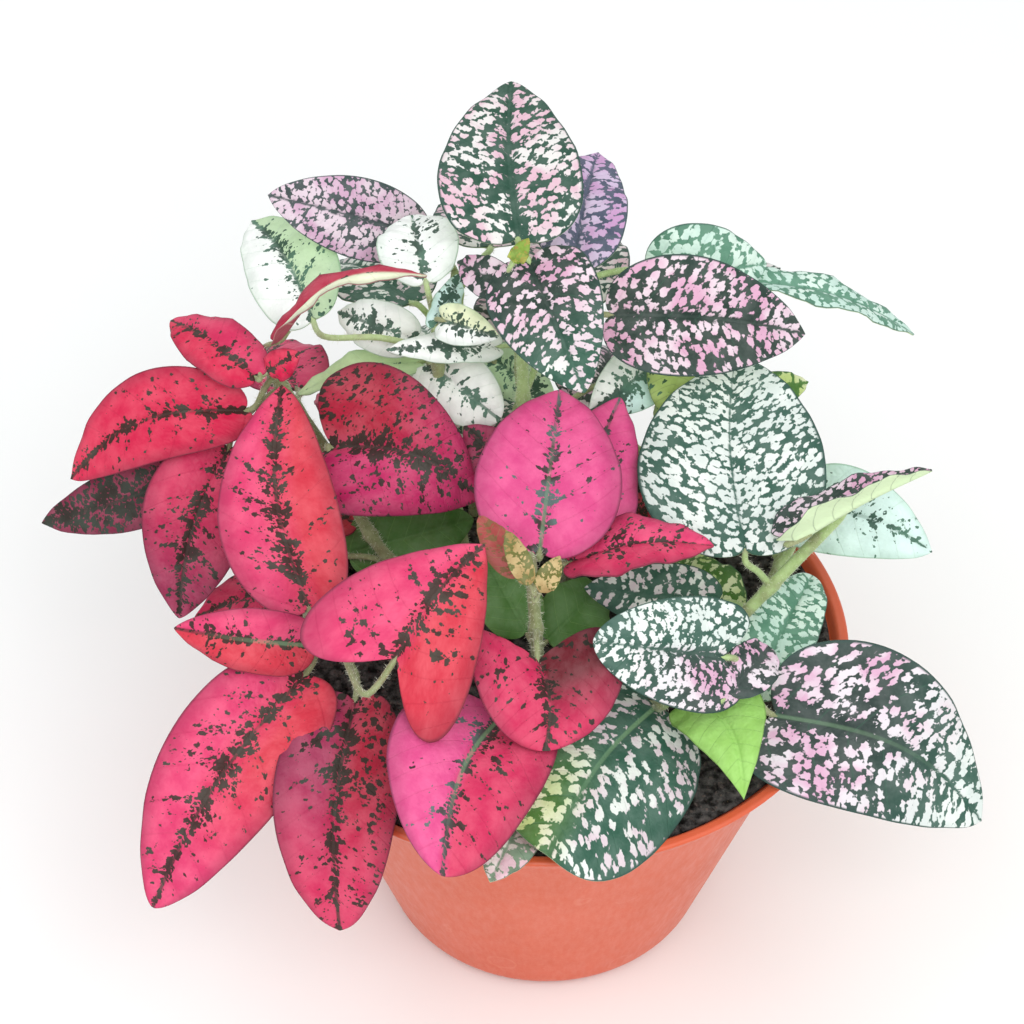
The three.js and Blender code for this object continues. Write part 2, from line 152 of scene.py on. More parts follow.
VEIN_SLOPE = 0.62
VEIN_CURVE = 0.016
VEIN_OFFSET = 0.18  # share of their spacing by which the two sides' veins miss each other
FINE_GRID = (46, 28)
SMALL_GRID = (28, 16)
SMALL_BLADE = 16
EVEN_COLUMNS = 0.62  # at 1 the columns are even, below it they crowd at the midrib
MARGIN_LINE = 0.985  # share of the half width where the last column before the margin lies

# Marks on the blades
BLOT_SHIFT_PER_LEAF = 31.7
CLUMP_SHIFT_PER_LEAF = 17.3
END_LOOK = (0.35, 0.8)  # shares of the length where the end's look sets in and is full
RIB_FADES = 0.8  # share of the length where a pale midrib ends
MARK_SLANT = 0.48  # 0 lays the marks along the midrib, 1 along the side veins
DOT_SHARE = 0.5  # spacing of the dots against that of the blots
DOT_RARITY = 0.26  # how much less of the face the dots cover

# Studio, in metres and watts. Each lamp: its name, place, size, power and colour (0 to 1)
FLOOR_REACH = 3
FLOOR_COLOURS = ((243.5, 245.8, 245.8), (247, 249.4, 249.4))
WORLD_LIGHT = 0.64
LAMP_TARGET = (0, 0, 0.08)
LAMPS = (
    ("key", (0.5, -0.5, 0.9), 0.8, 3.1, (1.0, 0.98, 0.95)),
    ("fill", (-0.6, -0.4, 0.9), 0.8, 2.5, (0.97, 0.98, 1.0)),
    ("front", (0.1, -0.8, 0.85), 0.6, 4.4, (1.0, 1.0, 1.0)),
    ("back", (-0.2, 0.75, 0.8), 0.6, 1.8, (1.0, 1.0, 1.0)),
)

BLACK = (0, 0, 0)
WHITE = (255, 255, 255)

# Kinds of the sockets that don't hold a number
SOCKET_KINDS = {"Geometry": "Geometry", "Material": "Material", "Place": "Vector", "Colour": "Color"}


def seen(column, row, height):
    """The point at this height that the photograph shows at this column and row"""
    ray = (LOOK_ALONG + LOOK_RIGHT * (column - PICTURE_CENTRE) / FOCAL_PIXELS
           + LOOK_UP * (PICTURE_CENTRE - row) / FOCAL_PIXELS)
    return EYE + ray * (height - EYE[2]) / ray[2]


def around(degrees, radius, height):
    """The point at this height, this far from the pot's axis"""
    angle = math.radians(degrees)
    return np.array([radius * math.cos(angle), radius * math.sin(angle), height])


def srgb(red, green, blue):
    """A colour in the steps of a screen, as the shader's linear values"""
    steps = np.array([red, green, blue]) / 255
    return tuple(np.where(steps <= 0.04045, steps / 12.92, ((steps + 0.055) / 1.055) ** 2.4))


# Looks of a leaf's upper face: its ground colour, the colour of its marks and their second colour; then
# how much of the face speckles cover (0 to 1), how far the dark clumps reach from the midrib in mm
# (on speckled leaves, how wide the plain band along it is), and how many flecks there are (0 to 1)
DARK_MARK = (36, 42, 34)
GREY_MARK = (50, 68, 58)
GREEN_MARK = (30, 68, 52)
PALE_MARK = (74, 116, 96)
LOOKS = {
    "bright pink": ((226, 78, 142), (78, 112, 108), DARK_MARK, 0, 2.8, 0.4),
    "pink": ((224, 60, 112), DARK_MARK, GREY_MARK, 0, 3.1, 0.7),
    "rose": ((210, 44, 92), DARK_MARK, GREY_MARK, 0, 3.1, 0.68),
    "coral": ((214, 54, 74), DARK_MARK, GREY_MARK, 0, 2.9, 0.62),
    "scarlet": ((212, 26, 74), DARK_MARK, GREY_MARK, 0, 2.5, 0.62),
    "crimson": ((174, 26, 56), DARK_MARK, DARK_MARK, 0.2, 3.6, 0.82),
    "magenta": ((194, 34, 98), DARK_MARK, GREY_MARK, 0.06, 3.6, 0.78),
    # Painted shade: a darkened red that stands for the shade on one half of a leaf
    "dark red": ((106, 14, 32), DARK_MARK, DARK_MARK, 0, 2.6, 0.6),
    "dusky": ((162, 44, 86), DARK_MARK, GREY_MARK, 0, 3.6, 0.82),
    "smoky": ((138, 40, 72), DARK_MARK, GREY_MARK, 0, 6.0, 1.2),
    "plain red": ((180, 30, 66), DARK_MARK, DARK_MARK, 0, 0.7, -0.4),
    "bronze": ((168, 70, 66), (124, 96, 64), (150, 110, 70), 0.3, 0.8, 0.3),
    "shoot": ((112, 112, 54), (200, 176, 128), (160, 132, 84), 0.45, 0.4, 0.2),
    "yellow shoot": ((132, 164, 56), (186, 204, 100), (148, 128, 64), 0.4, 0.4, 0.2),
    "green": ((84, 130, 62), (110, 158, 86), (110, 158, 86), 0, 0, 0),
    "bright green": ((158, 212, 106), (130, 186, 88), (130, 186, 88), 0, 0, 0),
    "white": ((250, 254, 251), GREEN_MARK, PALE_MARK, 0, 2.6, 0.4),
    "dotted white": ((250, 254, 252), GREEN_MARK, PALE_MARK, 0, 1.2, 0.65),
    "dotted ice": ((216, 242, 236), GREEN_MARK, PALE_MARK, 0, 1.2, 0.65),
    "branched white": ((250, 254, 250), GREEN_MARK, PALE_MARK, 0, 3.6, 0.3),
    "ice": ((214, 242, 240), GREEN_MARK, PALE_MARK, 0, 3.0, 0.6),
    "pale green": ((194, 222, 180), GREEN_MARK, PALE_MARK, 0, 3.0, 0.6),
    "cream": ((236, 244, 204), GREEN_MARK, PALE_MARK, 0, 2.6, 0.5),
    "plain cream": ((240, 246, 214), GREEN_MARK, PALE_MARK, 0, 0.5, -0.4),
    "plain pale green": ((200, 226, 172), GREEN_MARK, PALE_MARK, 0, 0.8, -0.2),
    "yellow green": ((176, 200, 112), GREEN_MARK, PALE_MARK, 0, 3.0, 0.2),
    "white speckles": ((58, 98, 84), (232, 238, 234), (216, 226, 222), 0.49, 0.3, 0),
    "mixed speckles": ((42, 82, 66), (230, 228, 226), (222, 184, 200), 0.4, 1.1, 0),
    "few speckles": ((54, 98, 80), (230, 236, 230), (220, 204, 212), 0.32, 0.8, 0),
    "pink speckles": ((48, 64, 60), (218, 172, 200), (230, 220, 228), 0.43, 1.2, 0),
    "lilac speckles": ((68, 80, 82), (208, 168, 196), (226, 208, 220), 0.54, 0.6, 0),
    "rosy speckles": ((42, 62, 54), (218, 168, 196), (230, 212, 222), 0.39, 1.0, 0),
    "violet speckles": ((84, 92, 116), (206, 160, 206), (214, 194, 224), 0.52, 0.8, 0),
    "green speckles": ((74, 120, 44), (186, 204, 130), (224, 230, 190), 0.42, 0.8, 0),
    "blush speckles": ((132, 158, 132), (236, 200, 212), (238, 238, 228), 0.5, 0.4, 0),
    "pale speckles": ((96, 148, 124), (222, 242, 232), (200, 228, 218), 0.5, 0.6, 0),
}
GREEN_LOOKS = ("green", "bright green", "shoot", "yellow shoot", "bronze")

# What all leaves of a kind share: spacing of the marks in mm, colour of the thin edge line, which also
# colours the painted shade towards the blade's edge, how far that painted shade shows, colour of the
# underside, colour of the side veins and how far they show
LEAF_SKINS = {
    "rose": (1.35, (78, 40, 54), 0.34, (178, 88, 104), (150, 26, 58), 0.08),
    "white": (1.5, (120, 164, 128), 0.22, (218, 232, 204), (196, 222, 204), 0.2),
    "speckled": (1.6, (50, 78, 72), 0.2, (212, 232, 190), (58, 104, 82), 0.3),
    "green": (1.5, (92, 120, 60), 0.2, (150, 190, 120), (132, 176, 100), 0.3),
}
LIGHT_RIB_COLOUR = (126, 164, 124)
STEM_COLOURS = {"rose": (118, 126, 74), "white": (176, 200, 134), "speckled": (160, 190, 116)}


def leaf(base, tip, width, look, beyond=None, end=None, **options):
    """A leaf from the base of its blade to its tip, each given by the column and row where the photograph
    shows it and its height. Its side beyond the midrib, and its end, may have looks of their own; on some
    leaves the darker look of one half is painted shade.
    Options: leaves_at = where its stalk leaves the stem (0 to 1), roll and fold in degrees, arch and bend
    of the midrib and reach of the base's lobes in mm, full = how blunt the base is, point = how drawn out
    the tip is, up = whether it faces up and not the viewer, fade = width in mm over which the two sides'
    looks blend, end_beyond = whether only the side beyond has the end's look, clumps = size of the marks
    on its midrib, grain = how coarse its marks are, light_rib = how pale the midrib is (0 to 1)"""
    blade = {"leaves_at": 1, "roll": 0, "arch": 3, "bend": 0, "fold": 12, "lobe": 3, "full": 0.5,
             "point": 0.8, "up": False, "fade": 0.8, "end_beyond": False, "clumps": 1, "grain": 1,
             "light_rib": 0}
    blade.update(options, base=seen(*base), tip=seen(*tip), width=width, look=look, beyond=beyond, end=end)
    return blade


def back_leaf(base, tip, width, look, **options):
    """A leaf at the back, which the photograph doesn't show. It faces up, and its base and tip are given
    by their direction in degrees, distance from the pot's axis and height"""
    blade = leaf(base, tip, width, look, up=True, **options)
    blade.update(base=around(*base), tip=around(*tip))
    return blade


# Each stem: where it stands in the soil, its way up, and its leaves
STEMS = {
    "rose_stem_1": ([(-42, -6, 78), (-46, -12, 88), (-50, -18, 101)], [
        leaf((309, 607, 104), (282, 385, 128), 26, "pink", "coral", arch=2, bend=-4, fade=9),
        leaf((307, 645, 104), (174, 628, 108), 14, "coral", "pink",
             arch=3, roll=-10, clumps=0.5, light_rib=0.6),
        leaf((304, 676, 96), (153, 907, 62), 28, "coral", "pink", "pink", fade=9,
             leaves_at=0.8, arch=9, bend=3, full=0.4, point=0.7),
        leaf((355, 702, 91), (340, 930, 58), 26, "crimson", "dusky", "rose", fade=6, clumps=0.6,
             leaves_at=0.6, arch=11, bend=2.6, full=0.42, point=0.62),
        leaf((396, 658, 112.2), (485, 544, 124), 37, "pink", "coral", fade=6,
             leaves_at=0.7, bend=-1.5, lobe=12, full=0.3, point=0.95),
    ]),
    "rose_stem_2": ([(-2, -20, 78), (-2.5, -25, 100), (-4, -21, 122)], [
        # Painted shade: this leaf's darker red half stands for the shade on that half; its rose half is the
        # leaf's own colour
        leaf((538, 661, 105), (545, 751, 96.5), 33, "dark red", "rose", "rose",
             leaves_at=0.6, roll=-10, bend=-1.2, lobe=7, full=0.28, point=0.55, fold=16),
        # Painted shade: the rose half is darker than the bright pink half, standing for the shade on that
        # half
        leaf((502, 717, 94.5), (442, 876, 88.5), 33, "rose", "bright pink", fade=3,
             light_rib=0.9, leaves_at=0.35, arch=5, bend=3.6, full=0.38, point=0.6),
        leaf((518, 577, 118), (479, 516, 124), 7, "bronze", arch=2, lobe=0),
        leaf((530, 585, 122), (506, 530, 128), 5, "shoot", arch=1, lobe=0),
        leaf((540, 592, 120), (560, 556, 126), 5, "shoot", arch=1, lobe=0),
        leaf((548, 640, 86), (604, 586, 85), 15, "green", leaves_at=0.3, lobe=1),
        leaf((526, 632, 88), (488, 562, 94), 14, "green", leaves_at=0.3, lobe=1),
    ]),
    "rose_stem_3": ([(4, 12, 78), (4, 6, 96), (0, -6, 112)], [
        leaf((540, 549, 116), (560, 390, 130), 31, "bright pink", arch=2, full=0.55, point=0.75,
             light_rib=0.5),
        leaf((592, 545, 108), (620, 398, 122), 20, "bright pink", leaves_at=0.85, roll=15, bend=-3,
             clumps=0.5),
        leaf((573, 562, 112), (714, 546, 117), 19, "pink", "rose",
             leaves_at=0.9, roll=-52, arch=3, clumps=0.25),
        leaf((520, 480, 108), (464, 426, 119), 14, "dusky", leaves_at=0.7),
        leaf((600, 535, 100), (660, 498, 104), 12, "crimson", leaves_at=0.7),
    ]),
    "rose_stem_4": ([(-28, 10, 78), (-38, 13, 95), (-45, 15, 112)], [
        leaf((333, 448, 116), (480, 497, 108), 34, "crimson", "magenta", "magenta", fade=6,
             arch=5, bend=-4, lobe=8, full=0.36),
        leaf((350, 553, 86), (474, 519, 88), 18, "green", leaves_at=0.3, lobe=1),
        back_leaf((152, 48, 90), (157, 80, 84), 21, "coral", leaves_at=0.5),
        back_leaf((168, 48, 82), (178, 76, 80), 20, "rose", leaves_at=0.2),
    ]),
    "rose_stem_5": ([(-34, 24, 81), (-44, 28, 98), (-56, 31, 120), (-61, 32, 130)], [
        leaf((254, 376, 130), (171, 321, 128), 14, "scarlet", "rose", arch=3, roll=20,
             clumps=0.5),
        leaf((244, 411, 121), (71, 479, 104), 20, "scarlet", leaves_at=0.8, arch=5, bend=6,
             clumps=0.8),
        leaf((200, 470, 104), (42, 523, 90), 15, "smoky", leaves_at=0.6, arch=4, bend=-0.8),
        leaf((228, 450, 112), (179, 618, 84), 24, "rose", end="dusky", leaves_at=0.7, arch=3,
             bend=2.5),
        leaf((268, 372, 131), (300, 352, 136), 7, "scarlet", arch=1, lobe=0, clumps=0.3),
        leaf((280, 340, 136), (427, 276, 150), 10, "plain red", "plain cream", arch=7, roll=-68),
        back_leaf((140, 72, 108), (131, 104, 92), 22, "pink", leaves_at=0.6),
        back_leaf((126, 58, 90), (122, 94, 78), 23, "rose", leaves_at=0.35, arch=6),
        back_leaf((140, 54, 84), (142, 86, 79), 22, "coral", leaves_at=0.2, arch=4),
    ]),
    "white_stem_1": ([(-18, 24, 78), (-22, 32, 104), (-24, 39, 131)], [
        leaf((312, 318, 128), (252, 221, 126), 21, "white", "pale green",
             leaves_at=0.9, arch=3, bend=2),
        leaf((425, 278, 143), (412, 216, 144), 18, "dotted white", arch=2, full=0.6, point=0.6),
        leaf((448, 322, 138), (499, 337, 139), 9, "cream", "white", arch=2),
        leaf((438, 322, 136), (459, 274, 141), 7, "ice", arch=1, roll=20),
        leaf((410, 338, 126), (338, 312, 125), 12, "branched white", leaves_at=0.85),
        leaf((415, 364, 118), (298, 395, 116), 11, "plain pale green", leaves_at=0.7, roll=50),
        leaf((432, 366, 120), (500, 420, 116), 16, "branched white", leaves_at=0.85,
             full=0.45, point=0.55),
        back_leaf((112, 62, 100), (108, 98, 86), 24, "white", leaves_at=0.5, arch=5),
    ]),
    "white_stem_2": ([(-8, 16, 78), (-9, 27, 96), (-6, 36, 113)], [
        leaf((494, 347, 129), (386, 350, 131), 8, "white", roll=20, arch=1),
        leaf((498, 362, 118), (556, 404, 114), 12, "pale green"),
        leaf((645, 372, 119), (590, 412, 117), 14, "ice", "white", leaves_at=0.8),
    ]),
    "white_stem_3": ([(44, 4, 78), (50, 7, 92), (55, 9, 106)], [
        leaf((792, 508, 104), (932, 552, 98), 20, "dotted ice", arch=3, bend=-2.8, full=0.4),
        back_leaf((34, 52, 92), (48, 78, 82), 22, "white", leaves_at=0.5),
    ]),
    "speckled_stem_1": ([(-4, 20, 78), (-5, 27, 112), (-6, 34, 156)], [
        leaf((518, 238, 158), (511, 82, 168), 31, "mixed speckles", clumps=1.7, arch=2,
             bend=-1.2, full=0.45),
        leaf((530, 264, 154), (585, 393, 140), 24, "rosy speckles", end="few speckles",
             arch=4, full=0.45, grain=0.9),
        leaf((612, 315, 143), (805, 334, 136), 26, "rosy speckles", leaves_at=0.85, bend=-1.4),
        leaf((500, 284, 150), (458, 262, 148), 9, "rosy speckles", arch=1),
        leaf((514, 262, 160), (529, 238, 166), 4, "yellow shoot", arch=1, lobe=0),
        back_leaf((86, 50, 128), (84, 88, 122), 26, "mixed speckles", leaves_at=0.6),
    ]),
    "speckled_stem_2": ([(24, 26, 78), (25, 40, 106), (26, 52, 136)], [
        leaf((572, 262, 146), (598, 153, 148), 20, "violet speckles", arch=3, bend=-0.5),
        leaf((655, 278, 134), (766, 264, 132), 22, "pale speckles"),
        leaf((752, 282, 128), (914, 335, 114), 13, "pale speckles",
             leaves_at=0.85, arch=4, bend=1.2, roll=-62),
        leaf((742, 398, 114), (808, 382, 114), 9, "green speckles", leaves_at=0.6),
        leaf((680, 362, 122), (672, 426, 114), 14, "yellow green", leaves_at=0.6),
        back_leaf((60, 70, 122), (62, 102, 107), 24, "mixed speckles", leaves_at=0.8, arch=5),
        back_leaf((60, 56, 100), (58, 88, 84), 24, "few speckles", leaves_at=0.5, arch=5),
        back_leaf((78, 58, 92), (80, 94, 80), 24, "pink speckles", leaves_at=0.3, arch=6),
        back_leaf((48, 46, 86), (42, 76, 80), 22, "mixed speckles", leaves_at=0.15, arch=4),
    ]),
    "speckled_stem_3": ([(32, -10, 78), (36, -12, 88), (49, -8, 104), (61, -3, 117)], [
        leaf((745, 550, 110), (735, 358, 126), 40, "white speckles", grain=0.9,
             leaves_at=0.6, bend=-2, point=0.7),
        leaf((800, 538, 117), (932, 470, 128), 20, "rosy speckles",
             roll=-77, fold=40, arch=1, lobe=6, full=0.35, clumps=1.6, grain=0.8),
        leaf((706, 655, 90), (690, 594, 96), 7, "white speckles", leaves_at=0.3, lobe=0),
        leaf((720, 616, 83), (672, 556, 83), 17, "green speckles", leaves_at=0.15, up=True),
    ]),
    "speckled_stem_4": ([(38, -24, 78), (40, -26, 84), (40, -28, 94)], [
        leaf((722, 657, 103), (593, 641, 111), 24, "pink speckles", "white speckles",
             "white speckles", fade=5, grain=0.64, arch=3, lobe=6, full=0.32, point=0.6),
        leaf((712, 602, 89), (584, 588, 93), 15, "few speckles", leaves_at=0.3),
        leaf((728, 694, 98), (770, 648, 99), 11, "pink speckles", arch=2, lobe=0, point=0.5),
        leaf((754, 690, 84), (812, 576, 87), 16, "pale speckles", grain=0.8,
             leaves_at=0.6, bend=-0.5, full=0.4, point=0.5),
        leaf((776, 716, 88), (981, 821, 60), 36, "pink speckles", end="white speckles",
             clumps=2, light_rib=0.4, leaves_at=0.8, arch=6, bend=-6, lobe=7, full=0.4),
    ]),
    "speckled_stem_5": ([(20, -22, 78), (22, -28, 84), (24, -33, 93)], [
        leaf((655, 708, 86), (548, 856, 84), 40, "few speckles", None,
             "green speckles", fade=8, end_beyond=True, light_rib=1, clumps=1.8, grain=1.15, bend=2.5,
             fold=2, full=0.36, point=0.36),
        leaf((702, 700, 89), (744, 800, 86), 19, "bright green",
             leaves_at=0.8, bend=-3, lobe=1, full=0.3, point=1.1),
        leaf((520, 820, 80.5), (490, 882, 80.5), 12, "blush speckles", leaves_at=0.3, arch=1),
    ]),
    "speckled_stem_6": ([(-16, 40, 78), (-18, 48, 106), (-20, 55, 134)], [
        leaf((420, 236, 138), (268, 195, 144), 18, "lilac speckles", grain=0.7, arch=2,
             bend=0.3, full=0.6),
        back_leaf((100, 72, 128), (97, 106, 110), 26, "mixed speckles", leaves_at=0.9, arch=5),
        back_leaf((118, 64, 124), (120, 100, 110), 24, "few speckles", leaves_at=0.6, arch=4),
        back_leaf((95, 60, 108), (92, 96, 98), 24, "pink speckles", leaves_at=0.4, arch=4),
        back_leaf((106, 52, 84), (103, 86, 79), 23, "mixed speckles", leaves_at=0.15, arch=4),
    ]),
}


# Objects and camera

def add_object(name, data):
    """An object with this data in the scene"""
    made = bpy.data.objects.new(name, data)
    bpy.context.scene.collection.objects.link(made)
    return made


def make_camera():
    data = bpy.data.cameras.new("camera")
    data.sensor_width = SENSOR_WIDTH
    data.lens = SENSOR_WIDTH * FOCAL_PIXELS / PICTURE_SIDE
    camera = add_object("camera", data)
    camera.location = EYE * MM
    camera.rotation_euler = (math.pi / 2 - EYE_TILT, 0, 0)
    bpy.context.scene.camera = camera


# Curves and bars

def unit(vector):
    return vector / np.linalg.norm(vector)


def curve_points(points, shares):
    """Points of a centripetal Catmull-Rom curve through these points, at these shares of its way"""
    points = [np.array(point, float) for point in points]
    before = 2 * points[0] - points[1]
    after = 2 * points[-1] - points[-2]
    padded = [before] + points + [after]
    spans = len(points) - 1
    made = []
    for share in shares:
        whole = min(int(share * spans), spans - 1)
        part = share * spans - whole
        a, b, c, d = padded[whole:whole + 4]
        gaps = [max(math.sqrt(np.linalg.norm(q - p)), 1e-4) for p, q in ((a, b), (b, c), (c, d))]
        start = ((b - a) / gaps[0] - (c - a) / (gaps[0] + gaps[1]) + (c - b) / gaps[1]) * gaps[1]
        end = ((c - b) / gaps[1] - (d - b) / (gaps[1] + gaps[2]) + (d - c) / gaps[2]) * gaps[1]
        made.append(b + start * part + (3 * (c - b) - 2 * start - end) * part ** 2
                    + (2 * (b - c) + start + end) * part ** 3)
    return np.array(made)


def bar(points, radii, sides):
    """Round bar along these points, closed at both ends: its places and faces"""
    directions = np.gradient(points, axis=0)
    directions /= np.linalg.norm(directions, axis=1)[:, None]
    reference = unit(np.cross(directions[0], (0.3, 1, 0.2)))
    angles = np.linspace(0, 2 * math.pi, sides, endpoint=False)
    rings = []
    for point, direction, radius in zip(points, directions, radii):
        reference = unit(reference - direction * (reference @ direction))
        other = np.cross(direction, reference)
        circle = np.cos(angles)[:, None] * reference + np.sin(angles)[:, None] * other
        rings.append(point + radius * circle)
    places = np.concatenate(rings)
    faces = []
    for ring in range(len(points) - 1):
        for side in range(sides):
            a, b = ring * sides + side, ring * sides + (side + 1) % sides
            faces.append((a, b, b + sides, a + sides))
    faces.append(tuple(reversed(range(sides))))
    faces.append(tuple(range((len(points) - 1) * sides, len(points) * sides)))
    return places, faces


# Blades

def width_share(blade, along):
    """Share of the full width at this place along the midrib, 0 at both ends and 1 at the widest"""
    widest = blade["full"] / (blade["full"] + blade["point"])
    most = widest ** blade["full"] * (1 - widest) ** blade["point"]
    return along ** blade["full"] * (1 - along) ** blade["point"] / most


def blade_frame(blade):
    """Directions along the blade's chord, out of its upper face and across it, and its length"""
    chord = blade["tip"] - blade["base"]
    length = np.linalg.norm(chord)
    along = chord / length
    toward = np.array([0, 0, 1.0]) if blade["up"] else unit(EYE - blade["base"])
    face = unit(toward - along * (toward @ along))
    roll = math.radians(blade["roll"])
    face = face * math.cos(roll) + np.cross(along, face) * math.sin(roll)
    return along, face, np.cross(along, face), length


def blade_middle(blade, number, along, side):
    """Middle of the blade's thickness, direction out of its upper face, and half its width there.
    along runs from 0 at the base to 1 at the tip, side from -1 to 1 across"""
    chord, face, across, length = blade_frame(blade)
    along, side = np.broadcast_arrays(np.asarray(along, float), np.asarray(side, float))
    share = width_share(blade, along)
    half = blade["width"] / 2 * share
    slope = math.pi * blade["arch"] * np.cos(math.pi * along) / length
    out = face - slope[..., None] * chord
    out /= np.linalg.norm(out, axis=-1, keepdims=True)
    bow = np.sin(math.pi * along)
    root = np.sqrt(along)
    back = blade["lobe"] * (LOBE_SCALE * root * (1 - root) ** 2) ** LOBE_ROUNDNESS * np.abs(side)
    fold = math.radians(blade["fold"])
    turn = WAVE_TURN_PER_LEAF * number + np.where(side > 0, 0, WAVE_TURN_PER_SIDE)
    ripple = share * np.sin(2 * math.pi * WAVES_PER_BLADE * along + turn)
    rise = (np.abs(side) * half * math.sin(fold)
            + side ** 2 * (MARGIN_WAVE * ripple - MARGIN_CURL * half))
    place = (blade["base"] + (length * along - back)[..., None] * chord
             + (blade["arch"] * bow)[..., None] * face
             + (blade["bend"] * bow + side * half * math.cos(fold))[..., None] * across
             + rise[..., None] * out)
    return place, out, half


def blade_mesh(blade, number, seed):
    """The blade with its grooved midrib and quilted halves: places, faces, and what the patterns read"""
    rows, columns = SMALL_GRID if blade["width"] < SMALL_BLADE else FINE_GRID
    along = 0.5 - 0.5 * np.cos(math.pi * np.arange(1, rows) / rows)
    spread = np.linspace(-1, 1, columns + 1)
    spread = spread * (EVEN_COLUMNS + (1 - EVEN_COLUMNS) * np.abs(spread))
    side = np.concatenate([[-1, -MARGIN_LINE], spread[1:-1], [MARGIN_LINE, 1]])
    along, side = np.meshgrid(along, side, indexing="ij")
    place, out, half = blade_middle(blade, number, along, side)
    length = np.linalg.norm(blade["tip"] - blade["base"])
    from_midrib = np.abs(side) * half
    vein_spacing = length / (VEIN_PAIRS + 1)
    vein = (length * along - VEIN_SLOPE * from_midrib - VEIN_CURVE * from_midrib ** 2) / vein_spacing
    vein = vein + np.where(side > 0, VEIN_OFFSET, 0)
    size = min(1, blade["width"] / FULL_RELIEF_BLADE)
    calm = np.clip(from_midrib / QUILT_RUN_IN, 0, 1) * (1 - np.abs(side) ** 6)
    quilt = QUILT_HEIGHT * size * calm * (np.abs(np.sin(math.pi * vein)) ** QUILT_ROUNDNESS - QUILT_LEVEL)
    midrib = size * np.exp(-(from_midrib / MIDRIB_WIDTH) ** 2)
    groove = MIDRIB_GROOVE * midrib * np.sin(math.pi * along) ** 0.5
    turn = CRINKLE_TURN_PER_LEAF * seed
    crinkle = CRINKLE * side ** 4 * np.sin(2 * math.pi * CRINKLES_PER_BLADE * along + turn)
    place = place + (quilt - groove + crinkle)[..., None] * out
    thickness = EDGE_THICKNESS + (MIDDLE_THICKNESS - EDGE_THICKNESS) * (1 - side ** 4)
    ridge = MIDRIB_RIDGE * midrib * (1 - along)
    upper = place + (thickness / 2)[..., None] * out
    lower = place - (thickness / 2 + ridge)[..., None] * out
    ends, end_out, _ = blade_middle(blade, number, [0, 1], [0, 0])
    end_lift = EDGE_THICKNESS / 2 * end_out
    places = np.concatenate([upper.reshape(-1, 3), lower.reshape(-1, 3), ends + end_lift, ends - end_lift])
    return places, blade_faces(*along.shape), blade_values(blade, seed, along, side, half, vein)


def blade_values(blade, seed, along, side, half, vein):
    """What the patterns read at each point of a blade: its place in mm, moved on for each leaf so that no
    two are marked alike, its share of the way along and across, its place among the veins, and its looks"""
    def all_points(grid, at_base, at_tip):
        return np.concatenate([grid.ravel(), grid.ravel(), [at_base, at_tip] * 2])

    upper_face = all_points(np.ones_like(along), 1, 1)
    upper_face[along.size:2 * along.size] = 0
    upper_face[-2:] = 0
    along, side = all_points(along, 0, 1), all_points(side, 0, 0)
    across, vein = side * all_points(half, 0, 0), all_points(vein, 0, VEIN_PAIRS + 1)
    length = np.linalg.norm(blade["tip"] - blade["base"])
    vein_along = vein * length / (VEIN_PAIRS + 1)
    values = {
        "blade_place": np.stack([across, length * along, 0 * along + BLOT_SHIFT_PER_LEAF * seed], 1),
        "vein_place": np.stack([across, vein_along, 0 * along + CLUMP_SHIFT_PER_LEAF * seed], 1),
        "blade_share": np.stack([along, side, vein], 1),
        "upper_face": upper_face,
    }
    mix = np.clip(0.5 + across / blade["fade"], 0, 1)[:, None]
    ended = np.clip((along - END_LOOK[0]) / (END_LOOK[1] - END_LOOK[0]), 0, 1)[:, None]
    if blade["end_beyond"]:
        ended = ended * mix
    here = LOOKS[blade["look"]]
    there = LOOKS[blade["beyond"]] if blade["beyond"] else here
    last = LOOKS[blade["end"]] if blade["end"] else None
    for slot, name in enumerate(("ground_colour", "mark_colour", "second_mark", "mark_amounts")):
        first, second, third = (np.array(srgb(*look[slot]) if slot < 3 else look[3:], float)
                                for look in (here, there, last or here))
        blended = first * (1 - mix) + second * mix
        values[name] = blended * (1 - ended) + third * ended if last else blended
    values["mark_amounts"] *= (1, blade["clumps"], 1)
    values["grain"] = np.full_like(along, blade["grain"])
    values["light_rib"] = blade["light_rib"] * np.clip(1 - along / RIB_FADES, 0, 1)
    return values


def blade_faces(rows, columns):
    """Faces of a blade: its upper and lower grids, its two margins, and fans at base and tip"""
    grid = rows * columns
    base_upper, tip_upper, base_lower, tip_lower = range(2 * grid, 2 * grid + 4)

    def upper(row, column):
        if row < 0:
            return base_upper
        return tip_upper if row == rows else row * columns + column

    def lower(row, column):
        if row < 0:
            return base_lower
        return tip_lower if row == rows else grid + row * columns + column

    faces = []
    last = columns - 1
    for row in range(-1, rows):
        after = row + 1
        for left, right in zip(range(last), range(1, columns)):
            above = (upper(row, left), upper(row, right), upper(after, right), upper(after, left))
            below = (lower(row, left), lower(after, left), lower(after, right), lower(row, right))
            faces += [tuple(dict.fromkeys(above)), tuple(dict.fromkeys(below))]
        faces.append((upper(row, last), lower(row, last), lower(after, last), upper(after, last)))
        faces.append((upper(row, 0), upper(after, 0), lower(after, 0), lower(row, 0)))
    return faces


# Meshes and pieces

def joined(parts):
    """Several pairs of places and faces as one"""
    all_faces, count = [], 0
    for places, faces in parts:
        all_faces.extend(tuple(corner + count for corner in face) for face in faces)
        count += len(places)
    return np.concatenate([places for places, _ in parts]), all_faces


def make_object(name, places, faces):
    """An object at the origin from places in millimetres"""
    mesh = bpy.data.meshes.new(name)
    mesh.from_pydata((np.asarray(places) * MM).tolist(), [], faces)
    mesh.validate()
    mesh.shade_smooth()
    return add_object(name, mesh)


def as_piece(made, node):
    """Marks an object as a piece of the plant, which stands for this node if one is named"""
    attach(made, "root")
    if node:
        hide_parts(node)


